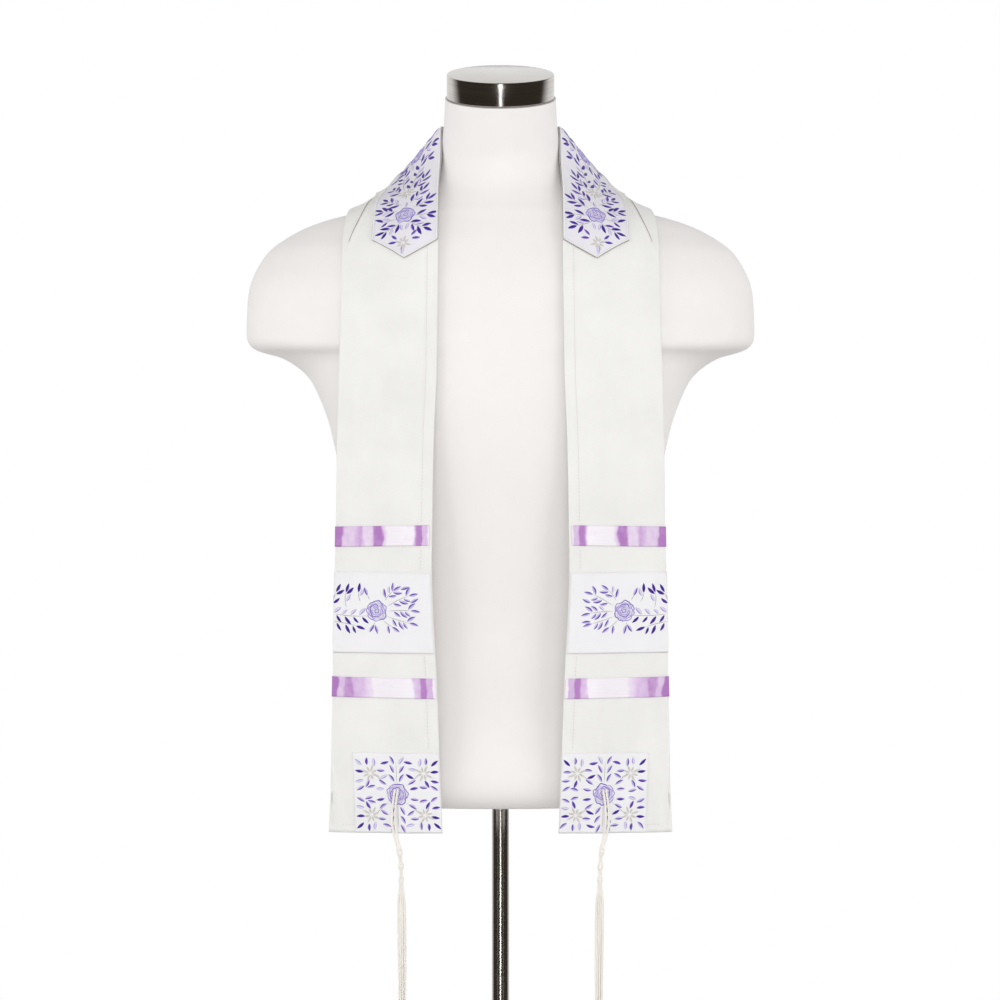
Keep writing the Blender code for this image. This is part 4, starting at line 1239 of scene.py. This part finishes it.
def buildForm():
    table = np.array(form["sections"], float)
    knots = np.concatenate([[0], np.cumsum(np.hypot(np.diff(table[:, 0]), np.diff(table[:, 1])))])
    at = splineThrough(knots, table)

    def placeAt(u, v):
        height, half, centre, front, back, fullness, taper, lean = at(u * knots[-1]).T
        angle = 2 * pi * v
        c, s = np.cos(angle), np.sin(angle)
        depth = np.where(s < 0, front, back) * (1 - np.minimum(np.abs(c), 1.0) ** fullness) ** taper
        depth *= np.sign(np.round(s, 9))
        return np.stack([half * c, centre + depth, height + depth * np.tan(np.radians(lean))], axis=1)

    mesh = gridMesh("formTorso", form["levels"], form["around"], placeAt)
    work = bmesh.new()
    work.from_mesh(mesh)
    bmesh.ops.remove_doubles(work, verts=work.verts[:], dist=2e-5)
    bmesh.ops.holes_fill(work, edges=[e for e in work.edges if e.is_boundary], sides=0)
    bmesh.ops.recalc_face_normals(work, faces=work.faces[:])
    work.to_mesh(mesh)
    work.free()
    made = newObject("formTorso", mesh, finishes["shell"])
    smooth(made, 50.0)
    rides(made, "form_shell", "form_torso")


buildForm()
print("form lofted")

steel = {
    "capRadius": 53.4, "capHeight": 24.0, "capEdge": 1.4, "capCentre": (0.0, -20.0, 1559.0), "lean": 18.0,
    "capOff": 0.3, "poleRadius": 8.7, "poleEnds": (4.5, 924.5), "poleEdge": 1.0,
    "baseProfile": (
        (0, 0), (160, 0), (162.5, 0.6), (165.2, 2.4), (166, 4.6), (165.4, 6.6), (163, 8.0), (156, 8.9),
        (120, 10.4), (70, 11.6), (34, 12.0), (25, 13.2), (20.5, 16.5), (18.6, 20), (18, 27), (17, 29.2),
        (15.5, 30), (9.3, 30), (9.3, 4.2), (0, 4.2),
    ),
}


def lathe(name, node, profile, finish, segments=128, turned=None):  # profile in millimetres, turned about z
    work = bmesh.new()
    count = len(profile) - 1
    made = bmesh.ops.create_grid(work, x_segments=count, y_segments=segments, size=0.5)["verts"]
    for vert in made:
        radius, height = profile[round((vert.co.x + 0.5) * count)]
        angle = 2 * pi * (vert.co.y + 0.5)
        vert.co = (radius * math.cos(angle) * mm, radius * math.sin(angle) * mm, height * mm)
    bmesh.ops.remove_doubles(work, verts=work.verts[:], dist=1e-6)
    bmesh.ops.dissolve_degenerate(work, edges=work.edges[:], dist=1e-6)
    mesh = meshOf(work, name, True)
    if turned:
        mesh.transform(turned)
    made = newObject(name, mesh, finishes[finish])
    smooth(made, 35.0)
    rides(made, "brushed_steel", node)


def roundedDisc(radius, bottom, top, edge, steps=4):
    corner = [(edge * (1 - math.cos(a)), edge * (1 - math.sin(a))) for a in np.linspace(0, pi / 2, steps + 1)]
    low = [(radius - x, bottom + y) for x, y in reversed(corner)]
    high = [(radius - x, top - y) for x, y in corner]
    return [(0.0, bottom)] + low + high + [(0.0, top)]


capTurn = (
    Matrix.Translation([c * mm for c in steel["capCentre"]])
    @ Matrix.Rotation(math.radians(steel["lean"]), 4, "X")
    @ Matrix.Translation((0, 0, steel["capOff"] * mm))
)
capProfile = roundedDisc(steel["capRadius"], 0.0, steel["capHeight"], steel["capEdge"])
lathe("neckCap", "neck_cap", capProfile, "steelCap", turned=capTurn)
poleProfile = roundedDisc(steel["poleRadius"], *steel["poleEnds"], steel["poleEdge"])
lathe("standPole", "stand_pole", poleProfile, "steelPole", 48)
lathe("standBase", "stand_base", steel["baseProfile"], "steelBase", 160)
print("steel turned")

# Floor, sky and lamps
studio = {
    "floor": (0.66, 0.655, 0.65), "floorRadius": 2.9,
    "front": (0.040, 0.032, 0.025), "sky": (0.95, 0.95, 0.95),  # mirrored in the steel, before and behind
    "below": 0.30, "fill": 0.66, "overhead": 0.40,  # the sky's light from below, level and above
    "lamps": (  # name, place, aimed at, size, power, seen as a reflection, lights matt surfaces
        ("left", (-2.9, -1.4, 1.9), (0, 0, 1.25), (2.6, 2.0), 34.0, False, True),
        ("right", (2.9, -1.4, 1.9), (0, 0, 1.25), (2.6, 2.0), 34.0, False, True),
        ("front", (0.0, -3.4, 2.0), (0, 0, 1.35), (2.6, 1.6), 25.3, False, True),
        ("back", (0.0, 3.4, 1.85), (0, 0, 1.35), (2.6, 1.6), 30.0, False, True),
        ("strip", (0.0, -3.3, 1.5), (0, 0, 1.5), (0.22, 2.4), 10.0, True, True),
        ("lowStrip", (0.0, -2.6, 0.2), (0, -0.07, 1.2), (0.13, 1.5), 3.6, True, False),
    ),
}
work = bmesh.new()
bmesh.ops.create_circle(work, cap_ends=True, segments=96, radius=studio["floorRadius"])
floorFinish, tree, shader = nodesOf("floorPaint")
grain = noise(tree, objectPlace(tree), 14.0, 4.0)
paint = ramp(tree, grain, ((0.3, tinted(studio["floor"], 0.985)), (0.7, studio["floor"])))
wire(tree, shader, {"Base Color": paint, "Roughness": 0.8})
floor = newObject("floor", meshOf(work, "floor"), floorFinish)
floor.visible_glossy = False

world = bpy.data.worlds.new("studio")
bpy.context.scene.world = world
world.use_nodes = True
tree = world.node_tree
rays = add(tree, "LightPath").outputs
direction = add(tree, "TexCoord").outputs["Generated"]
apart = add(tree, "SeparateXYZ", {0: direction}).outputs
facing = add(tree, "MapRange", {"Value": apart[1], "From Min": 0.22, "From Max": 0.62}).outputs[0]
mirrored = ramp(tree, facing, ((0.0, studio["front"]), (1.0, studio["sky"])))
height = add(tree, "MapRange", {"Value": apart[2], "From Min": -1.0, "From Max": 1.0}).outputs[0]
levels = (studio["below"], studio["fill"], studio["overhead"])
lit = ramp(tree, height, [(share, grey(level)) for share, level in zip((0.0, 0.5, 1.0), levels)])
around = add(tree, "Mix", {0: rays["Is Glossy Ray"], 6: lit, 7: mirrored}, data_type="RGBA").outputs[2]
seen = add(tree, "Mix", {0: rays["Is Camera Ray"], 6: around, 7: (1, 1, 1, 1)}, data_type="RGBA").outputs[2]
wire(tree, tree.nodes["Background"], {"Color": seen})

for name, where, aim, size, power, reflected, matt in studio["lamps"]:
    data = bpy.data.lights.new(name, "AREA")
    data.shape = "RECTANGLE"
    data.size, data.size_y = size
    data.energy = power
    lamp = bpy.data.objects.new(name, data)
    lamp.location = where
    lamp.rotation_euler = (Vector(aim) - Vector(where)).to_track_quat("-Z", "Y").to_euler()
    lamp.visible_camera = False
    lamp.visible_glossy = reflected
    lamp.visible_diffuse = matt
    bpy.context.scene.collection.objects.link(lamp)
print("studio lit")
